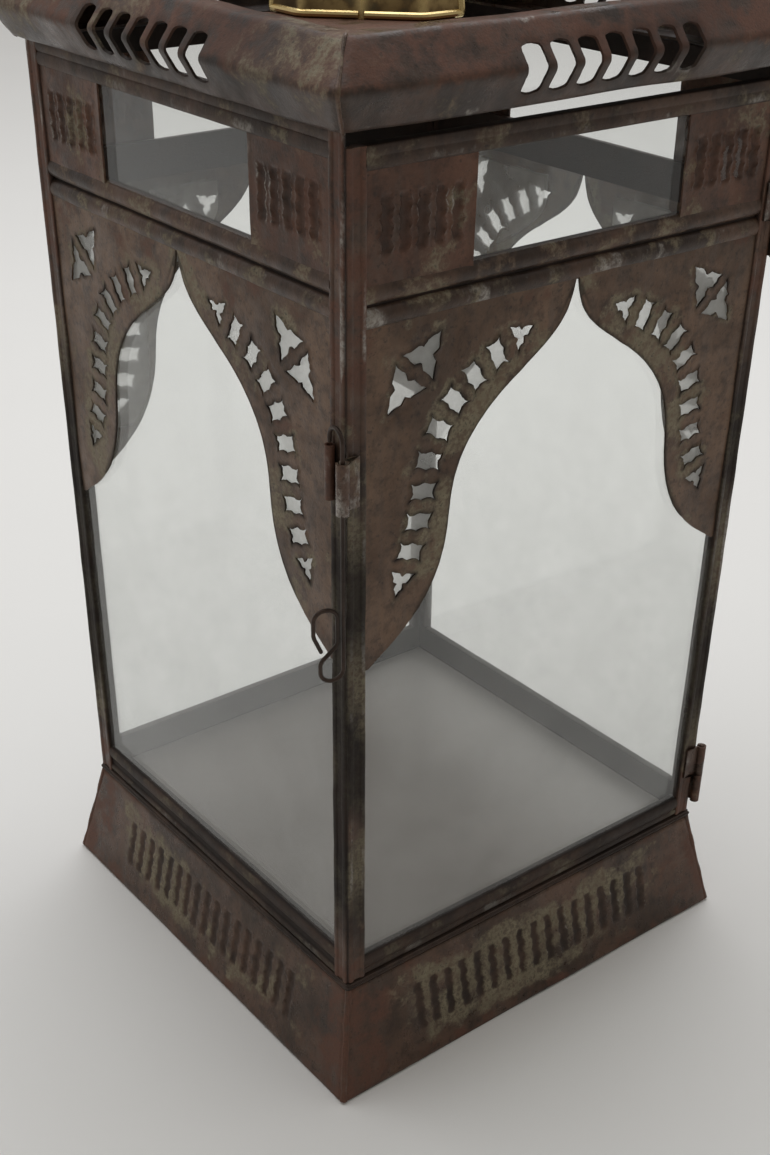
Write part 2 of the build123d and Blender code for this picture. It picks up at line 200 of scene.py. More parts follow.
def smooth_curve(points, step):
    """Natural cubic curve through the points, sampled about every step."""
    points = np.array(points, float)
    gaps = np.linalg.norm(np.diff(points, axis=0), axis=1)
    knots = np.concatenate([[0], np.cumsum(gaps)])
    count = len(points)
    system, right = np.eye(count), np.zeros_like(points)
    for i in range(1, count - 1):
        system[i, i - 1:i + 2] = gaps[i - 1], 2 * (gaps[i - 1] + gaps[i]), gaps[i]
        right[i] = 6 * ((points[i + 1] - points[i]) / gaps[i]
                        - (points[i] - points[i - 1]) / gaps[i - 1])
    bend = np.linalg.solve(system, right)
    at = np.linspace(0, knots[-1], max(3, int(round(knots[-1] / step)) + 1))
    i = np.clip(np.searchsorted(knots, at, side="right") - 1, 0, count - 2)
    gap = gaps[i][:, None]
    a = ((knots[i + 1] - at) / gaps[i])[:, None]
    b = 1 - a
    cubic = ((a ** 3 - a) * bend[i] + (b ** 3 - b) * bend[i + 1]) * gap ** 2 / 6
    return a * points[i] + b * points[i + 1] + cubic


def subdivided(points, step, closed=False):
    """Straight runs cut into steps, corners kept."""
    points = [np.array(p, float) for p in points]
    ends = points[1:] + points[:1] if closed else points[1:]
    out = []
    for a, b in zip(points, ends):
        pieces = max(1, int(math.ceil(np.linalg.norm(b - a) / step)))
        out += [a + (b - a) * k / pieces for k in range(pieces)]
    if not closed:
        out.append(points[-1])
    return np.array(out)


def rounded_path(points, radii, closed=False, steps=6):
    """Path with an arc of the given radius at each inner corner (at every corner if closed)."""
    points = [np.array(p, float) for p in points]
    count = len(points)
    radii = list(radii) if closed else [0] + list(radii) + [0]
    out = []
    for i, (p, radius) in enumerate(zip(points, radii)):
        if radius <= 0:
            out.append(p)
            continue
        a = points[i - 1] - p
        b = points[(i + 1) % count] - p
        a, b = a / np.linalg.norm(a), b / np.linalg.norm(b)
        half = math.acos(max(-1, min(1, float(a @ b)))) / 2
        middle = (a + b) / np.linalg.norm(a + b)
        centre = p + middle * radius / math.sin(half)
        first = p + a * radius / math.tan(half) - centre
        last = p + b * radius / math.tan(half) - centre
        swing = math.pi - 2 * half
        for k in range(steps + 1):
            share = k / steps
            out.append(centre + (math.sin((1 - share) * swing) * first
                                 + math.sin(share * swing) * last) / math.sin(swing))
    return np.array(out)


def inside(points, loop):
    """Which points lie inside a closed loop."""
    x, y = points[:, 0][:, None], points[:, 1][:, None]
    a, b = loop, np.roll(loop, -1, axis=0)
    rise = np.where(b[:, 1] == a[:, 1], 1e-12, b[:, 1] - a[:, 1])
    crosses = (a[:, 1] > y) != (b[:, 1] > y)
    left_of = x < (b[:, 0] - a[:, 0]) * (y - a[:, 1]) / rise + a[:, 0]
    return (crosses & left_of).sum(axis=1) % 2 == 1


def distance_to(points, loops):
    """Distance from each point to the nearest of the closed loops."""
    nearest = np.full(len(points), 1e9)
    for loop in loops:
        a, b = loop, np.roll(loop, -1, axis=0)
        run = b - a
        length2 = np.maximum((run ** 2).sum(axis=1), 1e-12)
        share = ((points[:, None, :] - a) * run).sum(axis=2) / length2
        foot = a + clamp(share)[..., None] * run
        gap = np.linalg.norm(points[:, None, :] - foot, axis=2).min(axis=1)
        nearest = np.minimum(nearest, gap)
    return nearest


def plan(outline, holes, step):
    """Triangles over a flat outline with holes: (points, triangles, loops)."""
    loops = [np.array(loop, float) for loop in [outline, *holes]]
    low, high = loops[0].min(axis=0), loops[0].max(axis=0)
    grid = []
    for j, y in enumerate(np.arange(low[1] + step / 2, high[1], step * 0.87)):
        for x in np.arange(low[0] + (j % 2) * step / 2, high[0], step):
            grid.append((x, y))
    grid = np.array(grid)
    keep = inside(grid, loops[0])
    for hole in loops[1:]:
        keep &= ~inside(grid, hole)
    grid = grid[keep]
    grid = grid[distance_to(grid, loops) > 0.55 * step]
    edges, start = [], 0
    for loop in loops:
        edges += [(start + i, start + (i + 1) % len(loop)) for i in range(len(loop))]
        start += len(loop)
    points = [Vector(p) for p in np.concatenate(loops + [grid])]
    made = delaunay_2d_cdt(points, edges, [], 0, 1e-6)
    points = np.array([tuple(p) for p in made[0]])
    triangles = np.array([tuple(f) for f in made[2]])
    a, b, c = (points[triangles[:, i]] for i in range(3))
    middle = (a + b + c) / 3
    keep = inside(middle, loops[0])
    for hole in loops[1:]:
        keep &= ~inside(middle, hole)
    area = (b[:, 0] - a[:, 0]) * (c[:, 1] - a[:, 1]) - (b[:, 1] - a[:, 1]) * (c[:, 0] - a[:, 0])
    keep &= np.abs(area) > 1e-7
    triangles = np.where((area > 0)[:, None], triangles, triangles[:, ::-1])
    return points, triangles[keep], loops


# ---------------------------------------------------------------- meshes
def mesh_object(name, shell, body, nodes, material, crease=35):
    """Piece from a (points in millimetres, faces, tone) shell, or from a list of them."""
    points, faces, tone = joined(shell) if isinstance(shell, list) else shell
    mesh = bpy.data.meshes.new(name)
    mesh.from_pydata((np.array(points) * 0.001).tolist(), [], [list(map(int, f)) for f in faces])
    mesh.update()
    mesh.validate()
    if len(mesh.vertices) == len(points):
        colour = clamp(tone).astype(np.float32)
        mesh.color_attributes.new("tone", "FLOAT_COLOR", "POINT")
        mesh.color_attributes["tone"].data.foreach_set("color", colour.ravel())
    mesh.shade_smooth()
    mesh.set_sharp_from_angle(angle=math.radians(crease))
    piece = bpy.data.objects.new(name, mesh)
    bpy.context.scene.collection.objects.link(piece)
    mesh.materials.append(material)
    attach(piece, body)
    if nodes:
        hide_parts(*nodes)
    return piece


def tones(shape, wear_and_sheen=0.0, grime_and_shade=0.0, tarnish=0.0, rust=0.0):
    """How much wear and painted sheen, dirt and painted shade, tarnish and rust each point of an array of
    that shape carries.
    """
    return np.stack([np.broadcast_to(np.asarray(value, float), shape)
                     for value in (wear_and_sheen, grime_and_shade, tarnish, rust)], axis=-1)


def joined(shells):
    """Several (points, faces, tone) shells as one."""
    faces, start = [], 0
    for points, shell_faces, _ in shells:
        faces += [[i + start for i in face] for face in shell_faces]
        start += len(points)
    return (np.concatenate([points for points, _, _ in shells]), faces,
            np.concatenate([tone for _, _, tone in shells]))


def on_side(flat, side):
    """Plan as it is, or mirrored where side is -1."""
    points, triangles, loops = flat
    return points * (side, 1), triangles if side > 0 else triangles[:, ::-1], loops


def sheet_shell(flat, place, rise, thickness, tone):
    """Closed sheet over a plan; place(u, v, height) gives points in space."""
    uv, triangles, _ = flat
    u, v = uv[:, 0], uv[:, 1]
    count = len(uv)
    points = np.concatenate([place(u, v, rise), place(u, v, rise - thickness)])
    runs = {}
    for a, b, c in triangles:
        for run in ((a, b), (b, c), (c, a)):
            runs[run] = True
    faces = [tuple(t) for t in triangles]
    faces += [(c + count, b + count, a + count) for a, b, c in triangles]
    for a, b in runs:
        if (b, a) not in runs:
            faces.append((b, a, a + count, b + count))
    return points, faces, np.concatenate([tone, tone])


def loft_shell(rings, tone, closed=False):
    """Skin over a row of closed rings, with flat ends unless closed."""
    rings = np.array(rings, float)
    count, around = rings.shape[:2]
    faces = []
    for i in range(count if closed else count - 1):
        j = (i + 1) % count
        for k in range(around):
            m = (k + 1) % around
            faces.append((i * around + k, i * around + m, j * around + m, j * around + k))
    if not closed:
        faces.append(tuple(range(around))[::-1])
        faces.append(tuple((count - 1) * around + k for k in range(around)))
    points = rings.reshape(-1, 3)
    return points, outward(points, faces), np.array(tone, float).reshape(-1, 4)


def outward(points, faces):
    """Faces of a closed skin, turned to look outwards."""
    volume = 0
    for face in faces:
        p = points[list(face)]
        for k in range(1, len(face) - 1):
            volume += float(np.dot(p[0], np.cross(p[k], p[k + 1])))
    return [face[::-1] for face in faces] if volume < 0 else faces


def tube_shell(path, radius, sides, tone, closed=False):
    """Round wire along a path; radius may vary along it."""
    path = np.array(path, float)
    count = len(path)
    radius = np.broadcast_to(radius, count)
    if closed:
        along = np.roll(path, -1, axis=0) - np.roll(path, 1, axis=0)
    else:
        along = np.gradient(path, axis=0)
    along /= np.linalg.norm(along, axis=1)[:, None]
    side = np.cross(along[0], (0, 0, 1) if abs(along[0][2]) < 0.9 else (1, 0, 0))
    rings = []
    for i in range(count):
        side = side - along[i] * (side @ along[i])
        side /= np.linalg.norm(side)
        other = np.cross(along[i], side)
        angles = 2 * math.pi * np.arange(sides) / sides
        rings.append(path[i] + radius[i] * (np.cos(angles)[:, None] * side
                                            + np.sin(angles)[:, None] * other))
    return loft_shell(rings, np.broadcast_to(tone, (count, sides, 4)), closed)


def rounded_ends(path, radius):
    """Path and radii of a wire whose two ends are domed."""
    path = np.array(path, float)
    shares = np.array([0.98, 0.85, 0.6, 0.3])
    cap = radius * np.sqrt(1 - shares ** 2)
    first, last = path[0] - path[1], path[-1] - path[-2]
    first, last = first / np.linalg.norm(first), last / np.linalg.norm(last)
    start = [path[0] + first * radius * (share - 1) for share in shares]
    stop = [path[-1] + last * radius * (share - 1) for share in shares[::-1]]
    gap = np.linalg.norm(path - path[0], axis=1) > 1.2 * radius
    gap &= np.linalg.norm(path - path[-1], axis=1) > 1.2 * radius
    path = np.concatenate([start, path[gap], stop])
    radii = np.concatenate([cap, np.full(gap.sum(), radius), cap[::-1]])
    return path, radii


# ---------------------------------------------------------------- places
def turned(points, turn):
    """Points turned about the upright axis, in degrees."""
    a = math.radians(turn)
    x, y = points[..., 0].copy(), points[..., 1].copy()
    out = points.copy()
    out[..., 0] = x * math.cos(a) - y * math.sin(a)
    out[..., 1] = x * math.sin(a) + y * math.cos(a)
    return out


def on_face(turn):
    """Place on a body face: s to the right, t up it, d outwards from its outer plane."""
    def place(s, t, d):
        s, t, d = np.broadcast_arrays(*(np.asarray(v, float) for v in (s, t, d)))
        points = np.stack([s, -BODY_FOOT - math.sin(LEAN) * t - math.cos(LEAN) * d,
                           BASE_H + math.cos(LEAN) * t - math.sin(LEAN) * d], axis=-1)
        return turned(points, turn)
    return place


def square_corner(side, reach, corner):
    """Point on a square with rounded corners, side from -1 to 1 along one edge at that reach."""
    s = side * reach
    past = np.clip(np.abs(s) - (reach - corner), 0, corner)
    angle = past / corner * math.pi / 4
    straight = np.sign(s) * (reach - corner)
    x = np.where(past > 0, straight + np.sign(s) * corner * np.sin(angle), s)
    y = -np.where(past > 0, reach - corner + corner * np.cos(angle), reach)
    return x, y


def on_profile(profile, turn, foot_z, corner):
    """Place on a side of a square body: s along it and v along the profile's (reach, height)."""
    profile = np.array(profile, float)
    runs = np.linalg.norm(np.diff(profile, axis=0), axis=1)
    lengths = np.concatenate([[0], np.cumsum(runs)])
    along = np.gradient(profile, lengths, axis=0)
    normal = np.stack([along[:, 1], -along[:, 0]], axis=1)
    normal /= np.linalg.norm(normal, axis=1)[:, None]

    def place(s, v, height):
        reach, z, out, up = (np.interp(v, lengths, column) for column in
                             (profile[:, 0], profile[:, 1], normal[:, 0], normal[:, 1]))
        side = np.clip(s / reach, -1, 1)
        x, y = square_corner(side, reach + out * height, corner)
        points = np.stack([x, y, foot_z + z + up * height], axis=-1)
        return turned(points, turn)
    return place, lengths, profile


def square_ring(profile, foot_z, corner, step=3.0):
    """Closed bar of a (reach, height) profile round all four sides."""
    profile = np.array(profile, float)
    reach = profile[:, 0].max()
    sides = np.linspace(-1, 1, int(2 * reach / step))
    bend = 1 - corner / reach * np.linspace(1, 0, 7)
    sides = np.unique(np.concatenate([sides[np.abs(sides) < bend[0]], bend, -bend]))[:-1]
    rings = []
    for turn in TURNS:
        for side in sides:
            x, y = square_corner(side, profile[:, 0], corner)
            points = np.stack([x, y, foot_z + profile[:, 1]], axis=-1)
            rings.append(turned(points, turn))
    return rings


# ---------------------------------------------------------------- materials
def node(tree, kind, **values):
    made = tree.nodes.new("ShaderNode" + kind)
    for key, value in values.items():
        setattr(made, key, value)
    return made


def feed(socket, value):
    """Give a socket a constant, or the output of another node."""
    if isinstance(value, bpy.types.NodeSocket):
        socket.id_data.links.new(value, socket)
    elif isinstance(value, tuple) and len(value) < len(socket.default_value):
        socket.default_value = (*value, 1.0)
    else:
        socket.default_value = value


def smooth_step(tree, source, low, high, start, stop):
    """From start to stop as the source goes from low to high."""
    made = node(tree, "MapRange", interpolation_type="SMOOTHSTEP")
    for key, value in zip(("Value", "From Min", "From Max", "To Min", "To Max"),
                          (source, low, high, start, stop)):
        feed(made.inputs[key], value)
    return made.outputs["Result"]


class Shade:
    """Small helper that builds one procedural material."""

    def __init__(self, name):
        self.material = bpy.data.materials.new(name)
        self.material.use_nodes = True
        self.tree = self.material.node_tree
        self.tree.nodes.clear()
        self.surface = node(self.tree, "OutputMaterial").inputs["Surface"]
        self.main = node(self.tree, "BsdfPrincipled")
        feed(self.surface, self.main.outputs[0])
        self.coords = node(self.tree, "TexCoord").outputs["Object"]

    def set(self, name, value):
        feed(self.main.inputs[name], value)

    def noise(self, size, detail, rough, stretch=(1, 1, 1), shift=0.0):
        """Noise whose features are about size millimetres."""
        mapping = node(self.tree, "Mapping")
        feed(mapping.inputs["Scale"], stretch)
        feed(mapping.inputs["Location"], (shift, shift * 0.7, shift * 1.3))
        feed(mapping.inputs["Vector"], self.coords)
        made = node(self.tree, "TexNoise")
        feed(made.inputs["Scale"], 1000.0 / size)
        feed(made.inputs["Detail"], detail)
        feed(made.inputs["Roughness"], rough)
        feed(made.inputs["Vector"], mapping.outputs[0])
        return made.outputs["Fac"]

    def ramp(self, source, low, high, start=0.0, stop=1.0):
        return smooth_step(self.tree, source, low, high, start, stop)

    def math(self, operation, *values):
        made = node(self.tree, "Math", operation=operation)
        for socket, value in zip(made.inputs, values):
            feed(socket, value)
        return made.outputs[0]

    def add(self, a, b):
        return self.math("ADD", a, b)

    def times(self, a, b):
        return self.math("MULTIPLY", a, b)

    def past(self, source, level, low, high):
        """From 0 to 1 as the source goes from low to high above a level."""
        return self.ramp(self.math("SUBTRACT", source, level), low, high)

    def mix(self, factor, a, b):
        """Colour or number a where factor is 0, b where it is 1."""
        colour = any(isinstance(value, tuple) or getattr(value, "type", "") == "RGBA" for value in (a, b))
        made = node(self.tree, "Mix", data_type="RGBA" if colour else "FLOAT")
        first = 6 if colour else 2
        for socket, value in zip((0, first, first + 1), (factor, a, b)):
            feed(made.inputs[socket], value)
        return made.outputs[2 if colour else 0]

    def layers(self, factor, under, over):
        """Surface with another over it, as far as the factor says."""
        made = node(self.tree, "MixShader")
        for socket, value in zip(made.inputs, (factor, under, over)):
            feed(socket, value)
        return made.outputs[0]

    def coloured(self, kind, colour):
        made = node(self.tree, kind)
        feed(made.inputs[0], colour)
        return made.outputs[0]

    def place(self):
        """X, Y and Z in metres."""
        split = node(self.tree, "SeparateXYZ")
        feed(split.inputs[0], self.coords)
        return split.outputs

    def tone(self):
        """The wear (with painted sheen), dirt (with painted shade), tarnish and rust values that the
        meshes carry.
        """
        read = node(self.tree, "Attribute", attribute_name="tone")
        split = node(self.tree, "SeparateColor")
        feed(split.inputs[0], read.outputs["Color"])
        return *split.outputs[:3], read.outputs["Alpha"]

    def bump(self, height, distance, strength):
        made = node(self.tree, "Bump")
        feed(made.inputs["Distance"], distance * 0.001)
        feed(made.inputs["Strength"], strength)
        feed(made.inputs["Height"], height)
        self.set("Normal", made.outputs[0])


def iron(name, dark, brown, shift=0.0, gloss=0.42, metal=0.3, rusty=0.5):
    """Oiled, rusted sheet iron: brown patina, red rust, cream tarnish and grey bare metal; the grey also
    paints sheen and the near-black dirt also paints shade where the meshes ask for it.
    """
    shade = Shade(name)
    wear_and_sheen, grime_and_shade, tarnish, rust = shade.tone()
    broad = shade.noise(42, 5, 0.6, shift=shift)
    patch = shade.noise(15, 7, 0.66, shift=shift + 3)
    blotch = shade.noise(6, 6, 0.65, shift=shift + 4)
    fine = shade.noise(1.9, 4, 0.6, shift=shift + 7)
    grit = shade.noise(0.8, 2, 0.5, shift=shift + 9)
    streak = shade.noise(7, 5, 0.6, stretch=(1, 1, 0.16), shift=shift + 5)
    rubbed = shade.noise(22, 6, 0.68, stretch=(1, 1, 0.5), shift=shift + 6)
    base = shade.mix(shade.ramp(broad, 0.38, 0.62), dark, brown)
    base = shade.mix(shade.ramp(streak, 0.45, 0.75, 0, 0.6), base, (0.085, 0.062, 0.048))
    base = shade.mix(shade.ramp(blotch, 0.42, 0.74, 0, 0.7), base, (0.022, 0.014, 0.010))

    reach = shade.math("SUBTRACT", 0.74 - 0.08 * rusty, shade.times(rust, 0.26))
    red = shade.past(patch, reach, -0.07, 0.12)
    base = shade.mix(red, base, shade.mix(fine, (0.055, 0.025, 0.016), (0.165, 0.072, 0.043)))

    speckle = shade.ramp(fine, 0.36, 0.6, 0.3, 1.0)
    cream = shade.past(patch, shade.math("SUBTRACT", 0.66, shade.times(tarnish, 0.25)), -0.05, 0.11)
    cream = shade.times(shade.times(speckle, cream), shade.ramp(tarnish, 0.05, 0.35))
    base = shade.mix(cream, base, shade.mix(blotch, (0.085, 0.068, 0.042), (0.33, 0.285, 0.19)))

    # grey bare metal for wear, and for painted sheen where the meshes carry it
    bare_metal_and_sheen = shade.past(rubbed, shade.math("SUBTRACT", 0.75, shade.times(wear_and_sheen, 0.30)), -0.03, 0.09)
    bare_metal_and_sheen = shade.times(shade.times(speckle, bare_metal_and_sheen), shade.ramp(wear_and_sheen, 0.02, 0.3))
    base = shade.mix(bare_metal_and_sheen, base, (0.31, 0.285, 0.255))
    # near-black for dirt, and for painted shade where the meshes carry it
    base = shade.mix(shade.times(grime_and_shade, 0.85), base, (0.011, 0.008, 0.007))
    shade.set("Base Color", shade.mix(shade.ramp(fine, 0.56, 0.70, 0, 0.55), base, (0.020, 0.015, 0.012)))

    rough = shade.mix(shade.ramp(patch, 0.35, 0.65), gloss - 0.14, gloss + 0.08)
    for where, value in ((red, 0.6), (cream, 0.6), (bare_metal_and_sheen, 0.34), (grime_and_shade, 0.75)):
        rough = shade.mix(where, rough, value)
    shade.set("Roughness", rough)
    shade.set("Metallic", shade.mix(red, shade.mix(bare_metal_and_sheen, metal, 0.85), 0.1))
    shade.set("Specular IOR Level", 0.38)
    height = shade.add(shade.times(blotch, 0.35), shade.times(grit, 0.16))
    shade.bump(shade.add(shade.times(patch, 0.7), height), 0.6, 0.8)
    return shade.material


def brass():
    """Aged brass: polished crests, brown in the hollows, faint verdigris."""
    shade = Shade("aged_brass")
    wear_and_sheen, grime_and_shade, _, _ = shade.tone()
    broad = shade.noise(30, 5, 0.6)
    patch = shade.noise(9, 6, 0.6, shift=4)
    fine = shade.noise(1.6, 4, 0.6, shift=8)
    base = shade.mix(shade.ramp(broad, 0.35, 0.65), (0.26, 0.17, 0.075), (0.46, 0.33, 0.15))
    base = shade.mix(shade.ramp(patch, 0.45, 0.65, 0, 0.85), base, (0.12, 0.072, 0.036))
    base = shade.mix(wear_and_sheen, base, (0.78, 0.60, 0.28))
    base = shade.mix(shade.times(grime_and_shade, 0.9), base, (0.055, 0.036, 0.02))
    green = shade.times(grime_and_shade, shade.ramp(patch, 0.55, 0.7, 0, 0.5))
    shade.set("Base Color", shade.mix(green, base, (0.12, 0.19, 0.15)))
    rough = shade.mix(shade.ramp(patch, 0.35, 0.7), 0.22, 0.42)
    rough = shade.mix(wear_and_sheen, rough, 0.17)
    shade.set("Roughness", shade.mix(grime_and_shade, rough, 0.7))
    shade.set("Metallic", 1.0)
    shade.bump(shade.add(shade.times(patch, 0.8), shade.times(fine, 0.2)), 0.3, 0.7)
    return shade.material


def dull_tin():
    """Tinned floor sheet, dull and lightly smudged; its paler side towards +X is a painted reflection from
    the glass.
    """
    shade = Shade("floor_sheet")
    broad = shade.noise(75, 4, 0.55, shift=2)
    smudge = shade.noise(20, 5, 0.6, shift=6)
    base = shade.mix(shade.ramp(broad, 0.3, 0.7), (0.130, 0.108, 0.090), (0.185, 0.160, 0.140))
    base = shade.mix(shade.ramp(smudge, 0.5, 0.8, 0, 0.4), base, (0.095, 0.080, 0.068))
    # painted reflection: the floor turns pale towards +X
    painted_reflection = shade.ramp(shade.place()[0], 0.0, 0.08)
    shade.set("Base Color", shade.mix(painted_reflection, base, (0.34, 0.32, 0.30)))
    shade.set("Roughness", shade.mix(smudge, 0.34, 0.5))
    shade.set("Metallic", 0.3)
    shade.bump(broad, 0.5, 0.5)
    return shade.material


def glass():
    """Clear window glass, dusty low down, with a pale translucent film behind the pierced plates that
    paints light into their holes.
    """
    shade = Shade("clear_glass")
    facing = node(shade.tree, "LayerWeight").outputs["Facing"]
    mirror = shade.add(shade.times(shade.math("POWER", facing, 3.2), 0.55), 0.032)
    x, y, z = shade.place()
    aside = shade.math("MINIMUM", shade.math("ABSOLUTE", x), shade.math("ABSOLUTE", y))
    # the pale film that paints light into the holes stays inside the spandrels' outline: aside is the
    # distance from the face's middle
    arch_edge = shade.add(shade.ramp(z, 0.2733, 0.3133, 0.0565, 0.0165),
                          shade.ramp(z, 0.1963, 0.2413, 0.030, 0.004))
    behind = shade.past(aside, arch_edge, 0.0, 0.0015)
    behind = shade.times(behind, shade.ramp(z, 0.2193, 0.2233))
    behind = shade.times(behind, shade.ramp(z, 0.3238, 0.3258, 1.0, 0.0))
    cloud = shade.noise(30, 6, 0.65)
    low = shade.times(shade.ramp(z, 0.12, 0.33, 0.08, 0.004), shade.ramp(cloud, 0.3, 0.7, 0.6, 1.4))
    # real dust low down, plus painted light: the pale film behind the pierced plates
    dust_and_hole_light = shade.add(low, shade.times(behind, shade.ramp(cloud, 0.3, 0.7, 0.24, 0.42)))
    shade.set("Base Color", (0.92, 0.93, 0.93))
    shade.set("Metallic", 1.0)
    shade.set("Roughness", 0.03)
    clear = shade.coloured("BsdfTransparent", (0.97, 0.975, 0.97))
    film = shade.layers(0.6, shade.coloured("BsdfDiffuse", (0.70, 0.69, 0.66)),
                        shade.coloured("BsdfTranslucent", (0.90, 0.90, 0.88)))
    gloss = shade.layers(mirror, clear, shade.main.outputs[0])
    feed(shade.surface, shade.layers(dust_and_hole_light, gloss, film))
    return shade.material


def plain(name, colour, rough):
    """Matt studio surface with a very faint mottle."""
    shade = Shade(name)
    darker = tuple(c * 0.97 for c in colour)
    shade.set("Base Color", shade.mix(shade.noise(160, 3, 0.5), colour, darker))
    shade.set("Roughness", rough)
    return shade.material


UMBER = (0.038, 0.022, 0.014)
BROWN = (0.110, 0.062, 0.040)
IRON = iron("rusted_iron", UMBER, BROWN, rusty=1.0)
IRON_BASE = iron("rusted_iron_base", (0.046, 0.028, 0.018), BROWN, shift=5.0, gloss=0.38)
# the eave's copy of the rusted iron has darker colours than the rest: painted shade
IRON_EAVE = iron("rusted_iron_eave", (0.026, 0.016, 0.011), (0.072, 0.040, 0.026), shift=8.0,
                 gloss=0.40, metal=0.15)
PIERCED = iron("pierced_sheet", (0.080, 0.045, 0.026), (0.150, 0.090, 0.055), shift=11.0)
EMBOSSED = iron("embossed_sheet", (0.070, 0.033, 0.020), (0.140, 0.066, 0.040), shift=14.0)
HARDWARE = iron("hardware_steel", (0.040, 0.029, 0.023), (0.095, 0.060, 0.045), shift=20.0,
                gloss=0.3, metal=0.6)
FLOOR_SHEET = dull_tin()
BRASS = brass()
GLASS = glass()
SLOTS = dict.fromkeys(("rusted_iron_base", "rusted_iron_eave"), "rusted_iron")


# ---------------------------------------------------------------- base
def chiselled(u, v, centres, middle, length, width=STROKE_W):
    """How deep (0 to 1) each point lies in a row of upright strokes with scalloped edges."""
    deep = np.zeros_like(u)
    lip = np.zeros_like(u)
    for centre in centres:
        sway = 0.4 * np.sin((v - middle) / length * 6 * math.pi + centre)
        across = (u - centre - sway) / (width / 2)
        end = (np.abs(v - middle) - length / 2) / 1.2
        cut = np.clip(1.25 - np.abs(across), 0, 0.5) * 2 * clamp(0.5 - end)
        deep = np.maximum(deep, np.minimum(cut, 1))
        lip = np.maximum(lip, near(np.abs(across) - 1.35, 0.28)
                         * clamp(0.7 - end))
    return deep, lip


def make_base():
    slope = (BASE_FOOT - BODY_FOOT) / BASE_H
    foot, top = BASE_FOOT - SKIN, BASE_FOOT - SKIN - slope * PANEL_TOP
    profile = rounded_path([(foot - 7, 0), (foot, 0), (top, PANEL_TOP - 0.8), (top - 4, PANEL_TOP - 0.6)],
                           [1.4, 1.6], steps=8)
    profile = subdivided(profile, 1.2)
    _, lengths, line = on_profile(profile, 0, 0.0, BASE_CORNER_R)
    edge = [(-r, v) for r, v in zip(line[:, 0], lengths)]
    edge += [(-s, v) for s, v in edge[::-1]]
    outline = []
    for a, b in zip(edge, edge[1:] + edge[:1]):
        pieces = max(1, int(np.linalg.norm(np.subtract(b, a)) / 1.6))
        outline += [np.add(a, np.subtract(b, a) * k / pieces) for k in range(pieces)]
    flat = plan(outline, [], 1.25)
    u, v = flat[0][:, 0], flat[0][:, 1]
    z = np.interp(v, lengths, line[:, 1])
    reach = np.interp(v, lengths, line[:, 0])
    centres = row(BASE_STROKES, BASE_STROKE_PITCH)
    on_slope = (v > 7)
    deep, lip = chiselled(u, z, centres, BASE_STROKE_Z, BASE_STROKE_H + 3)
    deep, lip = deep * on_slope, lip * on_slope
    to_corner = reach - np.abs(u)
    for name, turn in SIDES:
        place, _, _ = on_profile(profile, turn, 0.0, BASE_CORNER_R)
        dent = 0.22 * wander(turn + 1, 16, u, v) - 0.2
        edge_fade = clamp(to_corner / 8)
        rise = dent * edge_fade * on_slope - 0.75 * deep + 0.22 * lip
        fold, foot_edge = near(to_corner, 2.2), near(z - 0.5, 1.6)
        olive = clamp(1 - np.maximum(np.abs(u) / (BASE_STROKES * BASE_STROKE_PITCH / 2 + 16),
                                     np.abs(z - BASE_STROKE_Z) / 21) ** 4)
        # the near-black line right along the foot is painted contact shadow
        tone = tones(u.shape, wear_and_sheen=0.5 * lip + 0.4 * fold + 0.5 * foot_edge,
                     grime_and_shade=0.5 * deep + 0.5 * near(z - 0.6, 0.5),
                     tarnish=olive * (0.75 + 0.5 * wander(turn + 5, 24, u, v)) * (1 - deep),
                     rust=0.35 + 0.6 * near(to_corner, 22) + 0.35 * near(z, 9) - 0.4 * olive)
        shell = sheet_shell(flat, place, np.minimum(rise, 0.22), 1.0, tone)
        mesh_object("base_sheet_" + name, shell, "frame", ["base_panel_" + name], IRON_BASE, crease=50)

    shells = []
    for k, (sx, sy) in enumerate(((-1, -1), (1, -1), (1, 1), (-1, 1))):
        z = np.linspace(0.9, PANEL_TOP - 0.8, 40)
        reach = BASE_FOOT - SKIN - slope * z - 1.0
        wobble = 0.12 * wander(k + 40, 4, z)
        path = np.stack([sx * (reach - 0.5 + wobble), sy * (reach - 0.5 - wobble), z], axis=1)
        radius = np.clip(1.45 + 0.2 * wander(k + 50, 2.5, z), 1.2, 1.6)
        shells.append(tube_shell(path, radius, 10, tone=(0.3, 0.0, 0.1, 1.0)))
    mesh_object("base_corner_seams", shells, "frame", [], IRON)

    low, high = BEAD_LOW[2], BEAD_HIGH[2]
    outer = -BEAD_LOW[0]
    profile = rounded_path([(outer - 7, low - 0.2), (outer - 1.2, low - 0.2), (outer - 0.9, low + 1.0),
                            (outer - 1.5, low + 1.3), (outer - 1.5, high - 0.1), (outer - 7, high - 0.1)],
                           [0, 0.5, 0.3, 0.1, 0.3, 0], closed=True, steps=4)
    rings = np.array(square_ring(profile, 0, 1.2))
    shell = loft_shell(rings, tones(rings.shape[:2], wear_and_sheen=0.1, grime_and_shade=0.6), closed=True)
    mesh_object("base_step", shell, "frame", ["base_bead"], IRON)


# ---------------------------------------------------------------- body faces
def ridged(low, high, base, ridges, samples=26):
    """Row of (position, depth) across a folded bar: ridges are (centre, half width, height)."""
    at = np.linspace(low, high, samples)
    depth = np.full(samples, base)
    for centre, half, height in ridges:
        depth = np.maximum(depth, base + height * bump((at - centre) / half))
    return at, depth


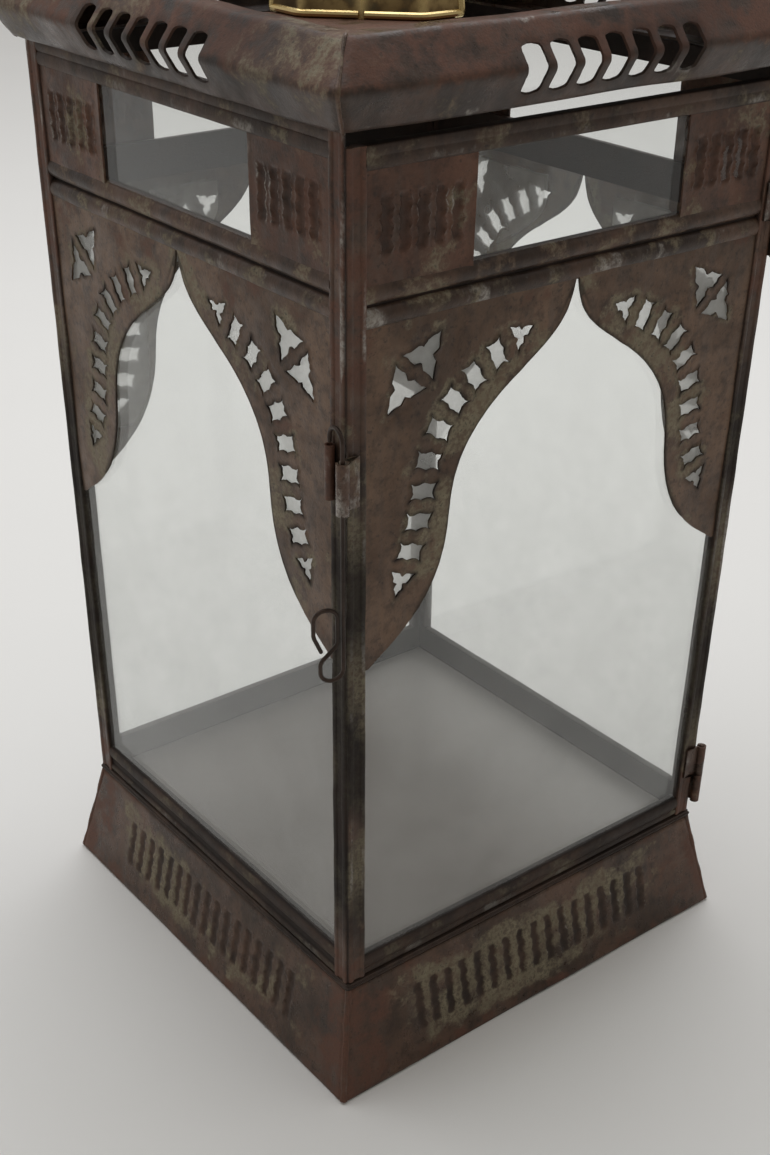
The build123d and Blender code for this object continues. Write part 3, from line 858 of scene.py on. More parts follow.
def stile_shell(place, side, low, high, gap, seed, bright=0.0):
    """Folded upright: two rolled edges and a flat web; bright paints a highlight along the top of its
    corner edge.
    """
    a, depth = ridged(gap + 0.25, STILE_W, -0.55,
                      [(gap + 1.55, 1.3, 0.5), (STILE_W - 1.25, 1.25, 0.5)])
    depth[0] -= 0.5
    depth[-1] -= 0.5
    a = np.concatenate([a, [STILE_W, STILE_W - 0.6, gap + FRAME_DEPTH, gap + 1.2]])
    depth = np.concatenate([depth, [-1.6, 0.2 - FRAME_DEPTH, 0.2 - FRAME_DEPTH, -1.4]])
    rings, shades = [], []
    for t in np.linspace(low, high, int((high - low) / 3.5)):
        shift = 0.10 * wander(seed, 9, t)
        wave = np.where(depth > -1.2, 0.07 * wander(seed + 1, 5, t + 0 * a, a * 2), 0)
        s = side * (half_width(t) - a - shift)
        rings.append(place(s, t, np.minimum(depth + wave, 0)))
        crest = clamp((depth + 0.45) / 0.4)
        patina = clamp((t - 18) / 25) * clamp((265 - t) / 90)
        # painted highlight: a pale strip along the top of the corner edge, carried in the wear channel
        edge = bright * clamp((t - 255) / 15) * clamp((gap + 2.2 - a) / 0.6)
        black = patina * clamp(0.6 + wander(seed + 4, 16, t + 0 * a, 1.5 * a))
        shades.append(tones(depth.shape, wear_and_sheen=crest * (0.5 + 0.35 * patina) + edge,
                            grime_and_shade=np.where(depth < -0.9, 0.9, 0.85 * black + 0.25 * patina),
                            tarnish=1.7 * patina * (1 - 0.5 * black), rust=0.75 - 0.6 * patina))
    return loft_shell(rings, shades)


def rail_shell(place, low, high, base, ridges, seed, dark=0.1, rust=0.45, back=0.2 - FRAME_DEPTH):
    """Folded cross bar between the stiles."""
    t, depth = ridged(low, high, base, ridges, 34)
    middle = (low + high) / 2
    t = np.concatenate([t, [high, low]])
    depth = np.concatenate([depth, [back, back]])
    rings, shades = [], []
    for f in np.linspace(-1, 1, 66):
        s = f * (half_width(t) - STILE_W + 0.7)
        wave = np.where(depth > back + 0.1,
                        0.10 * wander(seed, 14, f * 90 + 0 * t) + 0.05 * wander(seed + 1, 4, f * 90, t), 0)
        rings.append(place(s, t, np.minimum(depth + wave, 0)))
        crest = clamp((depth - base) / 0.6)
        low_bead = clamp((middle - t) / 2)
        # near-black where the bar lies back in its grooves and between its beads: painted shade
        shades.append(tones(t.shape, wear_and_sheen=crest * (0.3 + 0.3 * low_bead),
                            grime_and_shade=np.where(depth < base + 0.15, 0.95, dark), tarnish=0.45 * crest,
                            rust=rust * (1 - 0.6 * low_bead)))
    return loft_shell(rings, shades)


def star_loop():
    """Pierced motif with four sharp points, each long side cut in two scallops."""
    x, y = STAR_LENGTH / 2, STAR_WIDTH / 2
    long_side = [(x, y), (x - 0.95, y * 0.72), (x - 1.0, y * 0.4), (x - 0.2, 0),
                 (x - 1.0, -y * 0.4), (x - 0.95, -y * 0.72), (x, -y)]
    short_side = [(x * 0.55, 0.9 - y), (0, 1.25 - y), (-x * 0.55, 0.9 - y)]
    half = long_side + short_side
    return subdivided(half + [(-a, -b) for a, b in half], 0.8, closed=True)


def trefoil_loop(reach, waist):
    """Pierced motif of three pointed leaves, one of them along +X."""
    loop = []
    for k in range(3):
        for at, turn in ((reach, 0), (0.77 * reach, 7.5), (0.62 * reach, 20), (0.54 * reach, 36),
                         (0.8 * waist, 58), (0.54 * reach, 84), (0.62 * reach, 100),
                         (0.77 * reach, 112.5)):
            a = math.radians(120 * k + turn)
            loop.append((at * math.cos(a), at * math.sin(a)))
    return subdivided(loop, 0.8, closed=True)


def placed_loop(loop, spot, angle, seed):
    """Motif turned, moved and roughened a little, as cut by hand."""
    a = math.radians(angle)
    turn = np.array([[math.cos(a), math.sin(a)], [-math.sin(a), math.cos(a)]])
    rough = 0.17 * np.stack([wander(seed, 0.9, loop[:, 0], loop[:, 1]),
                             wander(seed + 1, 0.9, loop[:, 0], loop[:, 1])], axis=1)
    return (loop + rough) @ turn + np.array(spot)


def spandrel_plan():
    """Right-hand spandrel: distance from the middle and depth below the mid rail, negative down."""
    edge = smooth_curve([(x, -y) for x, y in ARCH_EDGE], 1.0)
    edge = edge + 0.10 * np.stack([wander(3, 2.2, edge[:, 0], edge[:, 1]),
                                   wander(4, 2.2, edge[:, 0], edge[:, 1])], axis=1)
    tip = edge[-1]
    wide = half_width(MID_RAIL_LOW) - STILE_W + TUCK
    narrow = half_width(MID_RAIL_LOW + tip[1]) - STILE_W + TUCK
    border = subdivided([tip, (narrow, tip[1]), (wide, TUCK), (edge[0][0], TUCK), edge[0]], 1.6)
    outline = np.concatenate([edge[:-1], border[:-1]])
    band = smooth_curve([(x, -y) for x, y in BAND], 0.2)
    holes = []
    for k in range(BAND_MOTIFS):
        i = int(round(k / (BAND_MOTIFS - 1) * (len(band) - 1)))
        along = band[min(i + 1, len(band) - 1)] - band[max(i - 1, 0)]
        angle = math.degrees(math.atan2(along[1], along[0]))
        if k == 0:
            holes.append(placed_loop(trefoil_loop(*END_LEAF), band[i], angle + 180, 60))
        elif k == BAND_MOTIFS - 1:
            holes.append(placed_loop(trefoil_loop(*END_LEAF), band[i], angle, 61))
        else:
            holes.append(placed_loop(star_loop(), band[i], angle, 62 + k))
    for k, ((x, y), look) in enumerate(CORNER_MOTIFS):
        holes.append(placed_loop(trefoil_loop(*CORNER_LEAF), (x, -y), look, 80 + k))
    return plan(outline, holes, 1.3)


def make_spandrels(name, turn, rail_low, body):
    place = on_face(turn)
    uv, _, loops = SPANDREL
    rim = distance_to(uv, loops[1:])
    arch = distance_to(uv, [loops[0][:ARCH_POINTS]])
    u, v = uv[:, 0], uv[:, 1]

    def lay(s, t, d):
        return place(s, rail_low + t, SHEET_FRONT + d)
    for side, label in ((-1, "left"), (1, "right")):
        seed = turn + 3 * side
        burr = near(rim, 0.55) * (0.55 + 0.45 * wander(seed + 7, 0.7, u, v))
        sunk = near(rim, 2.6)
        rise = 0.25 * wander(seed, 18, u, v) + 0.45 * burr - 0.25 * sunk
        away = near(rim, 4.5)
        tone = tones(u.shape, wear_and_sheen=0.5 * near(arch, 1.0) + 0.2 * sunk,
                     grime_and_shade=0.85 * near(rim, 1.0) * (0.7 + 0.5 * wander(seed + 3, 2.5, u, v))
                     + 0.8 * near(arch, 0.5),
                     tarnish=0.8 * near(arch, 8) + 0.8 * away
                     + 0.35 * wander(seed + 9, 12, u, v) - 0.1,
                     rust=0.15 + 0.4 * away * wander(seed + 11, 9, u, v) + 0.25 * near(v, 14))
        shell = sheet_shell(on_side(SPANDREL, side), lay, rise, THIN_SHEET, tone)
        mesh_object(f"{name}_pierced_{label}", shell, body,
                    [f"{name}_spandrel_{label}"], PIERCED, crease=40)


def make_plates(name, turn, low, high, body):
    place = on_face(turn)
    wide = half_width(low) - STILE_W + TUCK
    outline = subdivided([(WINDOW_HALF, low - TUCK), (wide, low - TUCK), (wide + 0.6, high + TUCK),
                          (WINDOW_HALF, high + TUCK)], 1.5, closed=True)
    flat = plan(outline, [], 0.9)
    u, v = flat[0][:, 0], flat[0][:, 1]
    middle = (WINDOW_HALF + half_width(low) - STILE_W) / 2
    centres = [middle + x for x in row(PLATE_STROKES, PLATE_STROKE_PITCH)]
    deep, lip = chiselled(u, v, centres, (low + high) / 2, PLATE_STROKE_H + 3, 3.6)
    shells = []
    for side in (-1, 1):
        seed = turn + 20 * side + 200
        fold = near(u - WINDOW_HALF, 1.6)
        rise = 0.14 * wander(seed, 9, u, v) - 0.75 * deep + 0.45 * lip + 0.25 * fold
        tone = tones(u.shape, wear_and_sheen=0.8 * lip + 0.45 * fold, grime_and_shade=0.35 * deep + 0.05,
                     tarnish=0.15 + 0.5 * wander(seed + 4, 10, u, v), rust=0.55)
        shells.append(sheet_shell(on_side(flat, side), lambda s, t, d: place(s, t, SHEET_FRONT + d),
                                  rise, THIN_SHEET, tone))
    mesh_object(name + "_embossed", shells, body, [name + "_plates"], EMBOSSED, crease=45)


def make_face(name, turn):
    body = "door" if name == "door" else "frame"
    lift = 0.0 if name == "door" else DOOR_DROP
    foot, top = (DOOR_FOOT, DOOR_TOP) if name == "door" else (0.0, FRAME_TOP)
    gap_left = DOOR_GAP if name in ("door", "right") else 0.05
    gap_right = DOOR_GAP if name in ("door", "left") else 0.05
    place = on_face(turn)
    # the left face's stile beside the door gets the painted highlight on its corner edge
    shells = [stile_shell(place, -1, foot, top, gap_left, turn + 11),
              stile_shell(place, 1, foot, top, gap_right, turn + 12, 1.0 if name == "left" else 0.0)]
    mesh_object(name + "_uprights", shells, body, [name + "_stiles"], IRON)

    sill = STILE_W + 0.6 + lift
    mid_low, mid_high, head = MID_RAIL_LOW + lift, MID_RAIL_HIGH + lift, WINDOW_TOP + lift
    middle, tall = (mid_low + mid_high) / 2, (mid_high - mid_low - BEAD_GROOVE) / 2
    shells = [
        rail_shell(place, foot, sill, -1.3, [(foot + 1.8, 1.8, 1.0), (sill - 3.0, 3.0, 1.2)],
                   turn + 21, dark=0.6, rust=0.25),
        rail_shell(place, mid_low, mid_high, -2.6,
                   [(mid_low + tall / 2, tall / 2 + 0.1, 2.5), (mid_high - tall / 2, tall / 2 + 0.1, 2.5)],
                   turn + 22),
        rail_shell(place, head, top, -0.9, [(head + 2.6, 2.6, 0.8), (top - 2.2, 2.2, 0.8)],
                   turn + 23, dark=0.35, rust=0.3)]
    mesh_object(name + "_bars", shells, body, [name + "_rails"], IRON, crease=50)
    make_spandrels(name, turn, mid_low, body)
    make_plates(name, turn, mid_high, head, body)


# ---------------------------------------------------------------- eave
def make_eave():
    foot_z = EAVE_LOW[2]
    grown = [(EAVE_INNER, SKIN), (EAVE_LIP - SKIN, SKIN), (EAVE_NOSE - SKIN, EAVE_NOSE_RISE),
             (EAVE_TOP_LIP - SKIN, EAVE_H - SKIN), (EAVE_INNER, EAVE_H - SKIN)]
    profile = subdivided(rounded_path(grown, [1.8, EAVE_NOSE_R, 2.6], steps=14), 1.4)
    _, lengths, line = on_profile(profile, 0, foot_z, EAVE_CORNER_R)
    climb = np.argmax(line[:, 1] > SKIN + 0.05)
    outer = slice(climb - 1, len(line) - int(np.argmax(line[::-1, 1] < EAVE_H - SKIN - 0.05)))
    edge = [(-r, v) for r, v in zip(line[:, 0], lengths)]
    ends = subdivided([edge[-1], (-edge[-1][0], edge[-1][1])], 2.0)
    start = subdivided([(-edge[0][0], edge[0][1]), edge[0]], 2.0)
    outline = edge[:-1] + list(ends[:-1]) + [(-s, v) for s, v in edge[::-1][:-1]] + list(start[:-1])

    def v_at(z):
        return float(np.interp(z, line[outer, 1], lengths[outer]))
    low, high = v_at(SLIT_RISE - SLIT_H / 2), v_at(SLIT_RISE + SLIT_H / 2)
    holes = []
    for k, middle in enumerate(row(SLITS, SLIT_PITCH)):
        v = np.linspace(low, high, 26)
        share = (v - low) / (high - low)
        tight = np.sqrt(np.clip(1 - (np.abs(2 * share - 1) ** 14), 0.05, 1))
        left = middle - SLIT_W / 2 * tight + 0.13 * wander(300 + k, 1.3, v)
        right = middle + SLIT_W / 2 * tight + 0.13 * wander(320 + k, 1.3, v)
        holes.append(np.concatenate([np.stack([left, v], axis=1),
                                     np.stack([right, v], axis=1)[::-1]]))
    flat = plan(outline, holes, 1.7)
    u, v = flat[0][:, 0], flat[0][:, 1]
    reach = np.interp(v, lengths, line[:, 0])
    height = np.interp(v, lengths, line[:, 1])
    rim = distance_to(flat[0], flat[2][1:])
    for name, turn in SIDES:
        place, _, _ = on_profile(profile, turn, foot_z, EAVE_CORNER_R)
        corner = clamp((reach - np.abs(u)) / 9)
        dent = 0.3 * wander(turn + 71, 14, u, v) * corner
        rise = np.minimum(dent - 0.25, 0) - 0.3 * near(rim, 1.2)
        lips = near(height - 1.2, 1.4) + near(height - EAVE_H + 1, 1.3)
        # painted reflection of the floor: a band of grey wear colour along the lower slope, which faces
        # down
        painted_floor_sheen = near(height - 5.5, 4.5)
        ends = clamp((np.abs(u) - 50) / 45)
        tone = tones(u.shape, wear_and_sheen=0.4 * lips + 0.35 * painted_floor_sheen * (0.6 + 0.5 * wander(turn + 78, 25, u, v))
                     + 0.3 * near(rim, 0.8),
                     grime_and_shade=0.3 * near(rim, 1.5) + 0.35 * clamp(wander(turn + 79, 30, u, v)),
                     tarnish=0.35 * ends + 0.35 * wander(turn + 75, 20, u, v),
                     rust=0.75 * clamp((height - 8) / 8) + 0.2)
        shell = sheet_shell(flat, place, rise, 1.1, tone)
        mesh_object("eave_sheet_" + name, shell, "frame", ["eave_" + name], IRON_EAVE, crease=50)

    shells = []
    for k in range(4):
        bead = line[outer]
        inset = bead[:, 0] - EAVE_CORNER_R * (1 - math.sqrt(0.5)) - 0.5
        path = np.stack([-inset, -inset, foot_z + bead[:, 1]], axis=1)
        path = turned(path, 90 * k)
        radius = 0.75 + 0.15 * wander(k + 90, 2, bead[:, 1])
        shells.append(tube_shell(path, radius, 8, tone=(0.55, 0.0, 0.5, 0.4)))
    mesh_object("eave_corner_seams", shells, "frame", [], IRON)


# ---------------------------------------------------------------- brass roof
def dome_size(z):
    share = clamp(z / DOME_H)
    return DOME_NECK + (1 - DOME_NECK) * (np.cos(math.pi * share) + 1) / 2


def make_roof():
    foot_z = ROOF_LOW[2]
    cut = DOME_CHAMFER * math.sqrt(2) - DOME_HALF
    diagonal = DOME_CHAMFER / math.sqrt(2)
    turn_in = rounded_path([(-diagonal, -diagonal), (-cut, -DOME_HALF), (cut, -DOME_HALF),
                            (diagonal, -diagonal)], [6, 6], steps=8)
    turn_in = subdivided(turn_in, 2.0)
    runs = np.linalg.norm(np.diff(turn_in, axis=0), axis=1)
    width = np.concatenate([[0], np.cumsum(runs)])
    width -= width[-1] / 2
    half = width[-1]
    across = np.gradient(turn_in, width, axis=0)

    def lay(turn):
        def place(w, z, rise):
            size = dome_size(z) - SKIN / DOME_HALF
            x, y = np.interp(w, width, turn_in[:, 0]), np.interp(w, width, turn_in[:, 1])
            ax, ay = np.interp(w, width, across[:, 0]), np.interp(w, width, across[:, 1])
            slope = (dome_size(z + 0.5) - dome_size(z - 0.5)) * DOME_HALF
            out = np.stack([ay, -ax, -slope], axis=-1)
            out /= np.linalg.norm(out, axis=-1)[..., None]
            points = np.stack([x * size, y * size, foot_z + z], axis=-1)
            return turned(points + out * np.asarray(rise)[..., None], turn)
        return place

    arc_z = ARCH_RISE - ARCH_SHOULDER
    radius = (ARCH_HALF ** 2 + arc_z ** 2) / (2 * arc_z)
    angles = np.linspace(-1, 1, 41) * math.asin(ARCH_HALF / radius)
    arch = [(radius * math.sin(a), ARCH_RISE - radius * (1 - math.cos(a))) for a in angles]
    arch = [(-ARCH_HALF, 0), (-ARCH_HALF, ARCH_SHOULDER / 2)] + arch
    arch += [(ARCH_HALF, ARCH_SHOULDER / 2), (ARCH_HALF, 0)]
    arch = [(x / dome_size(z), z) for x, z in arch]
    outline = subdivided([(-half, 0), *arch, (half, 0), (half, DOME_H), (-half, DOME_H)], 2.2,
                         closed=True)
    flat = plan(outline, [], 2.0)
    u, v = flat[0][:, 0], flat[0][:, 1]
    arch_gap = distance_to(flat[0], [np.array([*arch, *arch[::-1]])])
    size = dome_size(v)
    shells_rim = []
    for name, turn in SIDES:
        seam = near((half - np.abs(u)) * size, 1.8)
        edge = near((cut - np.abs(u)) * size, 1.6)
        band = near(v - 38, 1.3) + near(v - 47, 1.0)
        petals = clamp(np.cos(u / half * 9 * math.pi)) ** 2 \
            * clamp((v - 49) / 8) * clamp((90 - v) / 14)
        beads_at = (u * size / 5.2 + 0.5) % 1 - 0.5
        studs = clamp(1 - (beads_at / 0.36) ** 2 - ((v - 42.5) / 1.9) ** 2)
        rise = 0.35 * wander(turn + 131, 17, u * size, v) - 0.9
        rise = rise + 0.8 * seam + 0.5 * edge + 0.8 * band + 0.9 * petals * size + 0.9 * studs
        rise = rise + 0.5 * near(arch_gap, 2.2)
        crest = clamp(seam + edge + band + studs + petals)
        tone = tones(u.shape, wear_and_sheen=0.75 * crest * (0.7 + 0.3 * wander(turn + 133, 9, u, v)),
                     grime_and_shade=0.8 * (0.55 - crest + 0.35 * wander(turn + 135, 8, u * size, v)))
        shell = sheet_shell(flat, lay(turn), np.minimum(rise, 0.2), 1.0, tone)
        mesh_object("roof_gore_" + name, shell, "frame", ["roof_" + name], BRASS, crease=50)
        wire = subdivided([(-half + 1, 0), *arch, (half - 1, 0)], 1.6)
        path = lay(turn)(wire[:, 0], np.clip(wire[:, 1], 1.3, None), -0.9 + 0 * wire[:, 0])
        shells_rim.append(tube_shell(path, 1.3, 10, tone=(0.8, 0.1, 0, 0)))
    mesh_object("roof_arch_wires", shells_rim, "frame", [], BRASS)


def lathe_shell(profile, centre, steps=48, tone=(0.3, 0.1, 0, 0)):
    """Turned piece from (radius, height) points, first and last near the axis."""
    profile = np.array(profile, float)
    rings = []
    for k in range(steps):
        a = 2 * math.pi * k / steps
        rings.append(np.stack([centre[0] + profile[:, 0] * math.cos(a),
                               centre[1] + profile[:, 0] * math.sin(a),
                               centre[2] + profile[:, 1]], axis=1))
    rings = np.array(rings).transpose(1, 0, 2)
    return loft_shell(rings, np.broadcast_to(tone, (*rings.shape[:2], 4)))


def make_top():
    low, high = COLLAR_LOW[2], COLLAR_HIGH[2]
    neck = COLLAR_HIGH[0]
    tall = high - low
    collar = rounded_path([(0.2, 0.1), (neck - SKIN, 0.1), (neck - SKIN, 0.24 * tall),
                           (neck - 3, 0.42 * tall), (neck - 2.2, 0.66 * tall), (6.4, tall - 0.2),
                           (0.2, tall - 0.2)], [0.4, 1.2, 1.2, 1.2, 0.8], steps=6)
    shell = lathe_shell(collar, (0, 0, low), 64, (0.5, 0.15, 0, 0))
    mesh_object("turned_collar", shell, "frame", ["neck_collar"], BRASS, crease=50)
    finial_low, finial_high = low_high("finial")
    ball = 9.4
    middle = 12.0
    stem = 4.0
    heights = np.linspace(-0.97, 0.93, 30) * ball
    outline = [(0.2, 0.1), (stem + 0.4, 0.1), (stem + 0.6, 1.2), (stem - 0.3, 1.8)]
    outline += [(max(stem - 0.2, math.sqrt(ball ** 2 - h ** 2) - (0.5 if abs(h) < 0.7 else 0)),
                 middle + h) for h in heights]
    top = finial_high[2] - finial_low[2]
    outline += [(stem - 0.1, middle + ball + 0.8), (stem - 0.1, top - 1.4), (stem - 1.2, top - 0.3),
                (0.2, top - 0.2)]
    shell = lathe_shell(outline, (0, 0, finial_low[2]), 56, (0.6, 0.1, 0, 0))
    mesh_object("turned_finial", shell, "frame", ["finial"], BRASS, crease=40)
    wire = (RING_HIGH[1] - RING_LOW[1]) / 2
    reach = (RING_HIGH[0] - RING_LOW[0]) / 2 - wire
    centre_z = (RING_LOW[2] + RING_HIGH[2]) / 2
    angles = np.linspace(0, 2 * math.pi, 96, endpoint=False)
    radius = wire - 0.12 + 0.06 * wander(150, 0.5, 6 * np.cos(angles), 6 * np.sin(angles))
    path = np.stack([reach * np.sin(angles), 0 * angles, centre_z + reach * np.cos(angles)], axis=1)
    shell = tube_shell(path, radius, 18, closed=True, tone=(0.6, 0.1, 0, 0))
    mesh_object("ring_wire", shell, "frame", ["hanging_ring"], BRASS)


# ---------------------------------------------------------------- hinges and latch
def corner_place(x_side, outside):
    """Place by a front corner: x and y across, t up the leaning corner."""
    spot = BODY_FOOT + outside
    up = np.array((x_side * FLARE, -FLARE, 1.0))
    up /= np.linalg.norm(up)
    x_dir = np.array((1.0, 0.0, -x_side * FLARE))
    x_dir /= np.linalg.norm(x_dir)
    y_dir = np.cross(up, x_dir)

    def place(x, y, t):
        x, y, t = np.broadcast_arrays(*(np.asarray(v, float) for v in (x, y, t)))
        return (np.array((x_side * spot, -spot, BASE_H)) + x[..., None] * x_dir
                + y[..., None] * y_dir + t[..., None] * up)
    return place


def rolled_strap(reach, offset, roll, thickness, wrap=320):
    """Cross-section of a strap rolled into a barrel round (0, 0), its leaf along +X at y offset."""
    start = math.degrees(math.asin(min(1.0, offset / roll)))
    angles = np.radians(np.linspace(start, start - wrap, 44))
    middle = [(reach, offset), (reach * 0.6, offset), (roll * math.cos(math.radians(start)) + 0.9, offset)]
    middle += [(roll * math.cos(a), roll * math.sin(a)) for a in angles[1:]]
    middle = np.array(middle)
    along = np.gradient(middle, axis=0)
    along /= np.linalg.norm(along, axis=1)[:, None]
    normal = np.stack([-along[:, 1], along[:, 0]], axis=1) * thickness / 2
    return np.concatenate([middle + normal, (middle - normal)[::-1]])


def extruded(loop, place, low, high, tone):
    """Straight piece of a closed cross-section, between two heights."""
    rings = [place(loop[:, 0], loop[:, 1], t) for t in np.linspace(low, high, 7)]
    return loft_shell(rings, np.broadcast_to(tone, (7, len(loop), 4)))


def make_hinges():
    place = corner_place(1, HINGE_OUT)
    section = rolled_strap(LEAF_REACH - 0.1, LEAF_OFFSET, KNUCKLE_R - 0.5, 0.85)
    frame_side = np.stack([-section[:, 1], section[:, 0]], axis=1)
    door_side = np.stack([-section[:, 0], section[:, 1]], axis=1)
    frame_shells, door_shells = [], []
    for low in HINGE_HEIGHTS:
        split = low + KNUCKLE_H
        frame_shells.append(extruded(frame_side, place, low, split, HINGE_TONE))
        door_shells.append(extruded(door_side, place, split + KNUCKLE_GAP,
                                    split + KNUCKLE_GAP + KNUCKLE_H, HINGE_TONE))
    mesh_object("hinge_straps_frame", frame_shells, "frame", ["hinge_knuckles_frame"], HARDWARE, crease=40)
    mesh_object("hinge_straps_door", door_shells, "door", ["hinge_knuckles_door"], HARDWARE, crease=40)
    pins = []
    for low in HINGE_HEIGHTS:
        top = low + 2 * KNUCKLE_H + KNUCKLE_GAP + 1
        t = np.array([low - 0.9, low - 0.8, low - 0.4, low - 0.1, low, top - 1, top - 0.9, top - 0.6,
                      top - 0.2, top - 0.1])
        radius = np.array([0.3, 0.9, 1.35, 1.45, 1.0, 1.0, 1.45, 1.35, 0.9, 0.3])
        pins.append(tube_shell(place(0 * t, 0 * t, t), radius, 16, tone=(0.8, 0.1, 0, 0.3)))
    mesh_object("hinge_rivets", pins, "frame", ["hinge_pins"], HARDWARE)


def make_latch():
    place = corner_place(-1, 0)
    x, y = DOOR_BARREL
    low, high = DOOR_BARREL_Z
    section = rolled_strap(STRAP_REACH - 1.2, -y - 0.06 - THIN_SHEET / 2, DOOR_BARREL_R - 0.45, 0.85)
    shell = extruded(section + (x, y), place, low, high, tone=(0.75, 0.0, 0.3, 0.5))
    mesh_object("latch_strap", shell, "door", ["latch_barrel_door"], HARDWARE, crease=40)

    fx, fy = FRAME_BARREL
    low, high = FRAME_BARREL_Z
    angles = np.radians(np.linspace(20, 350, 40))
    thick = FRAME_BARREL_R - FRAME_BARREL_BORE
    roll = FRAME_BARREL_R - 0.05 - thick / 2
    outer = np.stack([np.cos(angles), np.sin(angles)], axis=1) * (roll + thick / 2)
    inner = np.stack([np.cos(angles), np.sin(angles)], axis=1) * (roll - thick / 2)
    section = np.concatenate([outer, inner[::-1]]) + (fx, fy)
    barrel = extruded(section, place, low, high, tone=(0.4, 0.1, 0.0, 1.0))
    t = np.linspace(low + 1, high - 1, 20)
    solder = tube_shell(place(-0.35 + 0 * t, fy + 0.5 * wander(210, 3, t), t),
                        0.85 + 0.2 * wander(211, 2, t), 8, tone=(0.9, 0.1, 0.3, 0))
    mesh_object("latch_socket", [barrel, solder], "frame", ["latch_barrel_frame"], HARDWARE, crease=40)

    leg_top = HOOK_TIP_Z + HOOK_LEG
    bow = math.hypot(fx - x, fy - y) / 2
    angles = np.linspace(0, math.pi, 20)
    points = [(fx, fy, t) for t in np.linspace(HOOK_TIP_Z + 0.1, leg_top, 4)]
    for a in angles[1:]:
        share = (1 - math.cos(a)) / 2
        points.append((fx + (x - fx) * share, fy + (y - fy) * share, leg_top + bow * math.sin(a)))
    turns = [(0, leg_top), (0, 148.5), (8.6, 148.5), (8.6, 156.5), (2.1, 163.0), (2.1, 177.5),
             (11.0, 177.5), (11.0, 167.5), (8.0, 160.5)]
    curl = rounded_path(turns, [4.2, 4.2, 3.4, 3.6, 4.2, 4.2, 5.0], steps=9)
    curl = subdivided(curl, 2.5)[1:]
    out = np.array((-0.95, 0.31)) / math.hypot(0.95, 0.31)
    points += [(x + a * out[0], y + a * out[1], t) for a, t in curl]
    points = np.array(points)
    path, radius = rounded_ends(place(points[:, 0], points[:, 1], points[:, 2]), WIRE_R - 0.02)
    shell = tube_shell(path, radius, 14, tone=(0.35, 0.3, 0, 0))
    mesh_object("latch_hook_wire", shell, "latch", ["latch_wire"], HARDWARE)


SPANDREL = spandrel_plan()
make_base()
for face_name, face_turn in FACES:
    make_face(face_name, face_turn)
make_eave()
make_roof()
make_top()
make_hinges()
make_latch()

KEPT_NODES = {name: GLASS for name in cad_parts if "_pane_" in name}
KEPT_NODES.update(floor_plate=FLOOR_SHEET, eave_gussets=IRON)
for node_name, material in KEPT_NODES.items():
    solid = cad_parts[node_name]
    solid.data.materials.clear()
    solid.data.materials.append(material)


# ---------------------------------------------------------------- stage, light and camera
CAMERA_AZIMUTH = -38.25
CAMERA_ELEVATION = 27.57
CAMERA_ROLL = 0.73
CAMERA_DISTANCE = 0.6832
CAMERA_AIM = Vector((-0.0251, -0.0261, 0.1823))
LENS = 50.49
FLOOR_REACH = 9.0


def make_stage():
    """Wide pale floor."""
    angles = np.linspace(0, 2 * math.pi, 72, endpoint=False)
    rim = np.stack([np.cos(angles), np.sin(angles), 0 * angles], axis=1) * FLOOR_REACH
    mesh = bpy.data.meshes.new("studio_floor")
    mesh.from_pydata(rim.tolist(), [], [tuple(range(len(rim)))])
    mesh.materials.append(plain("studio_white", (0.80, 0.79, 0.765), 0.85))
    floor = bpy.data.objects.new("studio_floor", mesh)
    bpy.context.scene.collection.objects.link(floor)


def beyond(away, aside, height):
    """Point at a distance behind the lantern as the camera sees it, in metres."""
    azimuth = math.radians(CAMERA_AZIMUTH)
    return (-math.sin(azimuth) * away + math.cos(azimuth) * aside,
            math.cos(azimuth) * away + math.sin(azimuth) * aside, height)


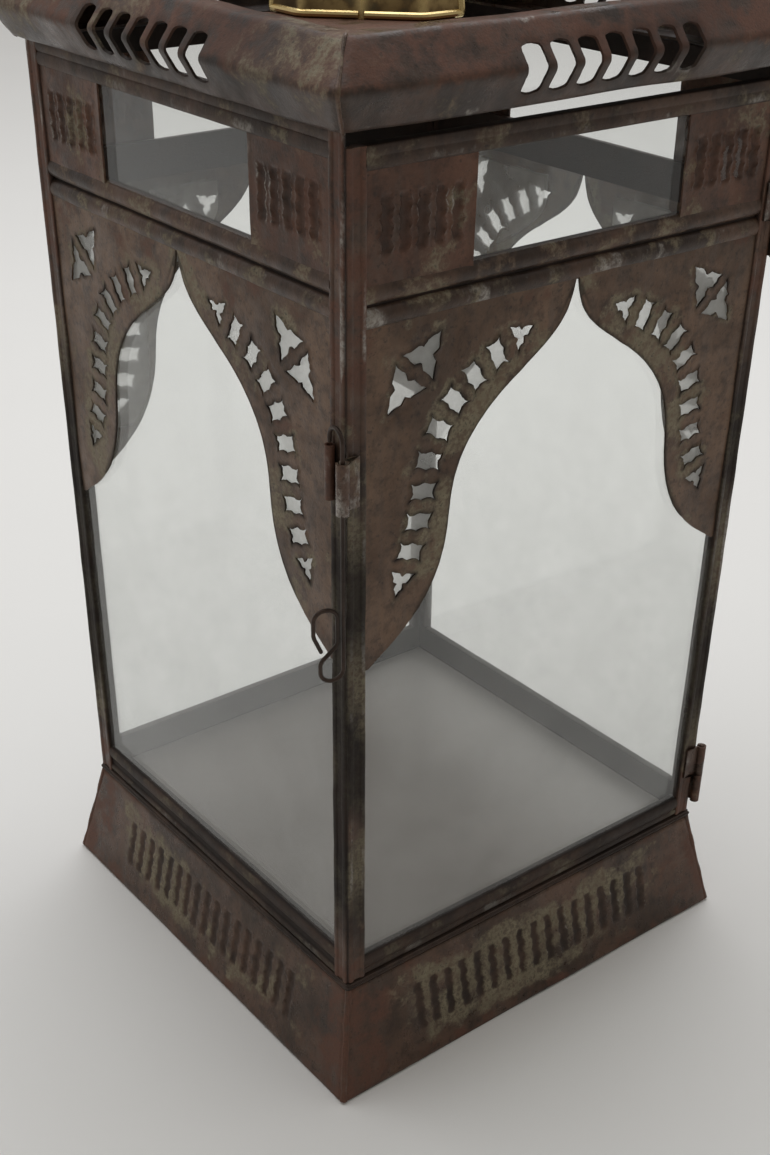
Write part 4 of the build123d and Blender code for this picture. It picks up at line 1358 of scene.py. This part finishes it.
def make_light(name, position, target, size, power, colour):
    data = bpy.data.lights.new(name, "AREA")
    data.shape = "RECTANGLE"
    data.size, data.size_y = size
    data.energy = power
    data.color = colour
    lamp = bpy.data.objects.new(name, data)
    lamp.location = position
    aim = Vector(target) - Vector(position)
    lamp.rotation_euler = aim.to_track_quat("-Z", "Y").to_euler()
    bpy.context.scene.collection.objects.link(lamp)


def make_camera():
    az, el, roll = (math.radians(a) for a in (CAMERA_AZIMUTH, CAMERA_ELEVATION, CAMERA_ROLL))
    back = Vector((math.sin(az) * math.cos(el), -math.cos(az) * math.cos(el), math.sin(el)))
    level = Vector((math.cos(az), math.sin(az), 0))
    up = back.cross(level)
    right = math.cos(roll) * level + math.sin(roll) * up
    up = back.cross(right)
    data = bpy.data.cameras.new("camera")
    data.lens = LENS
    data.sensor_width = 36.0
    data.clip_start = 0.02
    camera = bpy.data.objects.new("camera", data)
    turn = Matrix((right, up, back)).transposed()
    camera.matrix_world = Matrix.Translation(CAMERA_AIM + CAMERA_DISTANCE * back) @ turn.to_4x4()
    bpy.context.scene.collection.objects.link(camera)
    bpy.context.scene.camera = camera


def make_room():
    """Soft room light, bright beyond the lantern and dim on the near side."""
    world = bpy.data.worlds.new("soft_room")
    bpy.context.scene.world = world
    world.use_nodes = True
    tree = world.node_tree
    toward = node(tree, "VectorMath", operation="DOT_PRODUCT")
    feed(toward.inputs[0], node(tree, "TexCoord").outputs["Generated"])
    feed(toward.inputs[1], (0.45, 0.72, 0.53))
    strength = smooth_step(tree, toward.outputs["Value"], -0.7, 0.9, 0.25, 0.66)
    tint = node(tree, "Mix", data_type="RGBA")
    for socket, value in ((0, strength), (6, (1.0, 0.92, 0.78)), (7, (0.90, 0.93, 1.0))):
        feed(tint.inputs[socket], value)
    feed(tree.nodes["Background"].inputs[0], tint.outputs[2])
    feed(tree.nodes["Background"].inputs[1], strength)


make_stage()
make_camera()
make_room()
make_light("overhead", beyond(0.8, 0.0, 1.9), beyond(0.8, 0.0, 0.0), (3.0, 1.4), 20.5,
           (0.93, 0.955, 1.0))
make_light("softbox", beyond(0.35, -0.05, 1.45), beyond(0.50, 0.0, 0.0), (1.1, 0.8), 3.0,
           (1.0, 1.0, 0.98))
bpy.context.scene.view_settings.view_transform = "Standard"
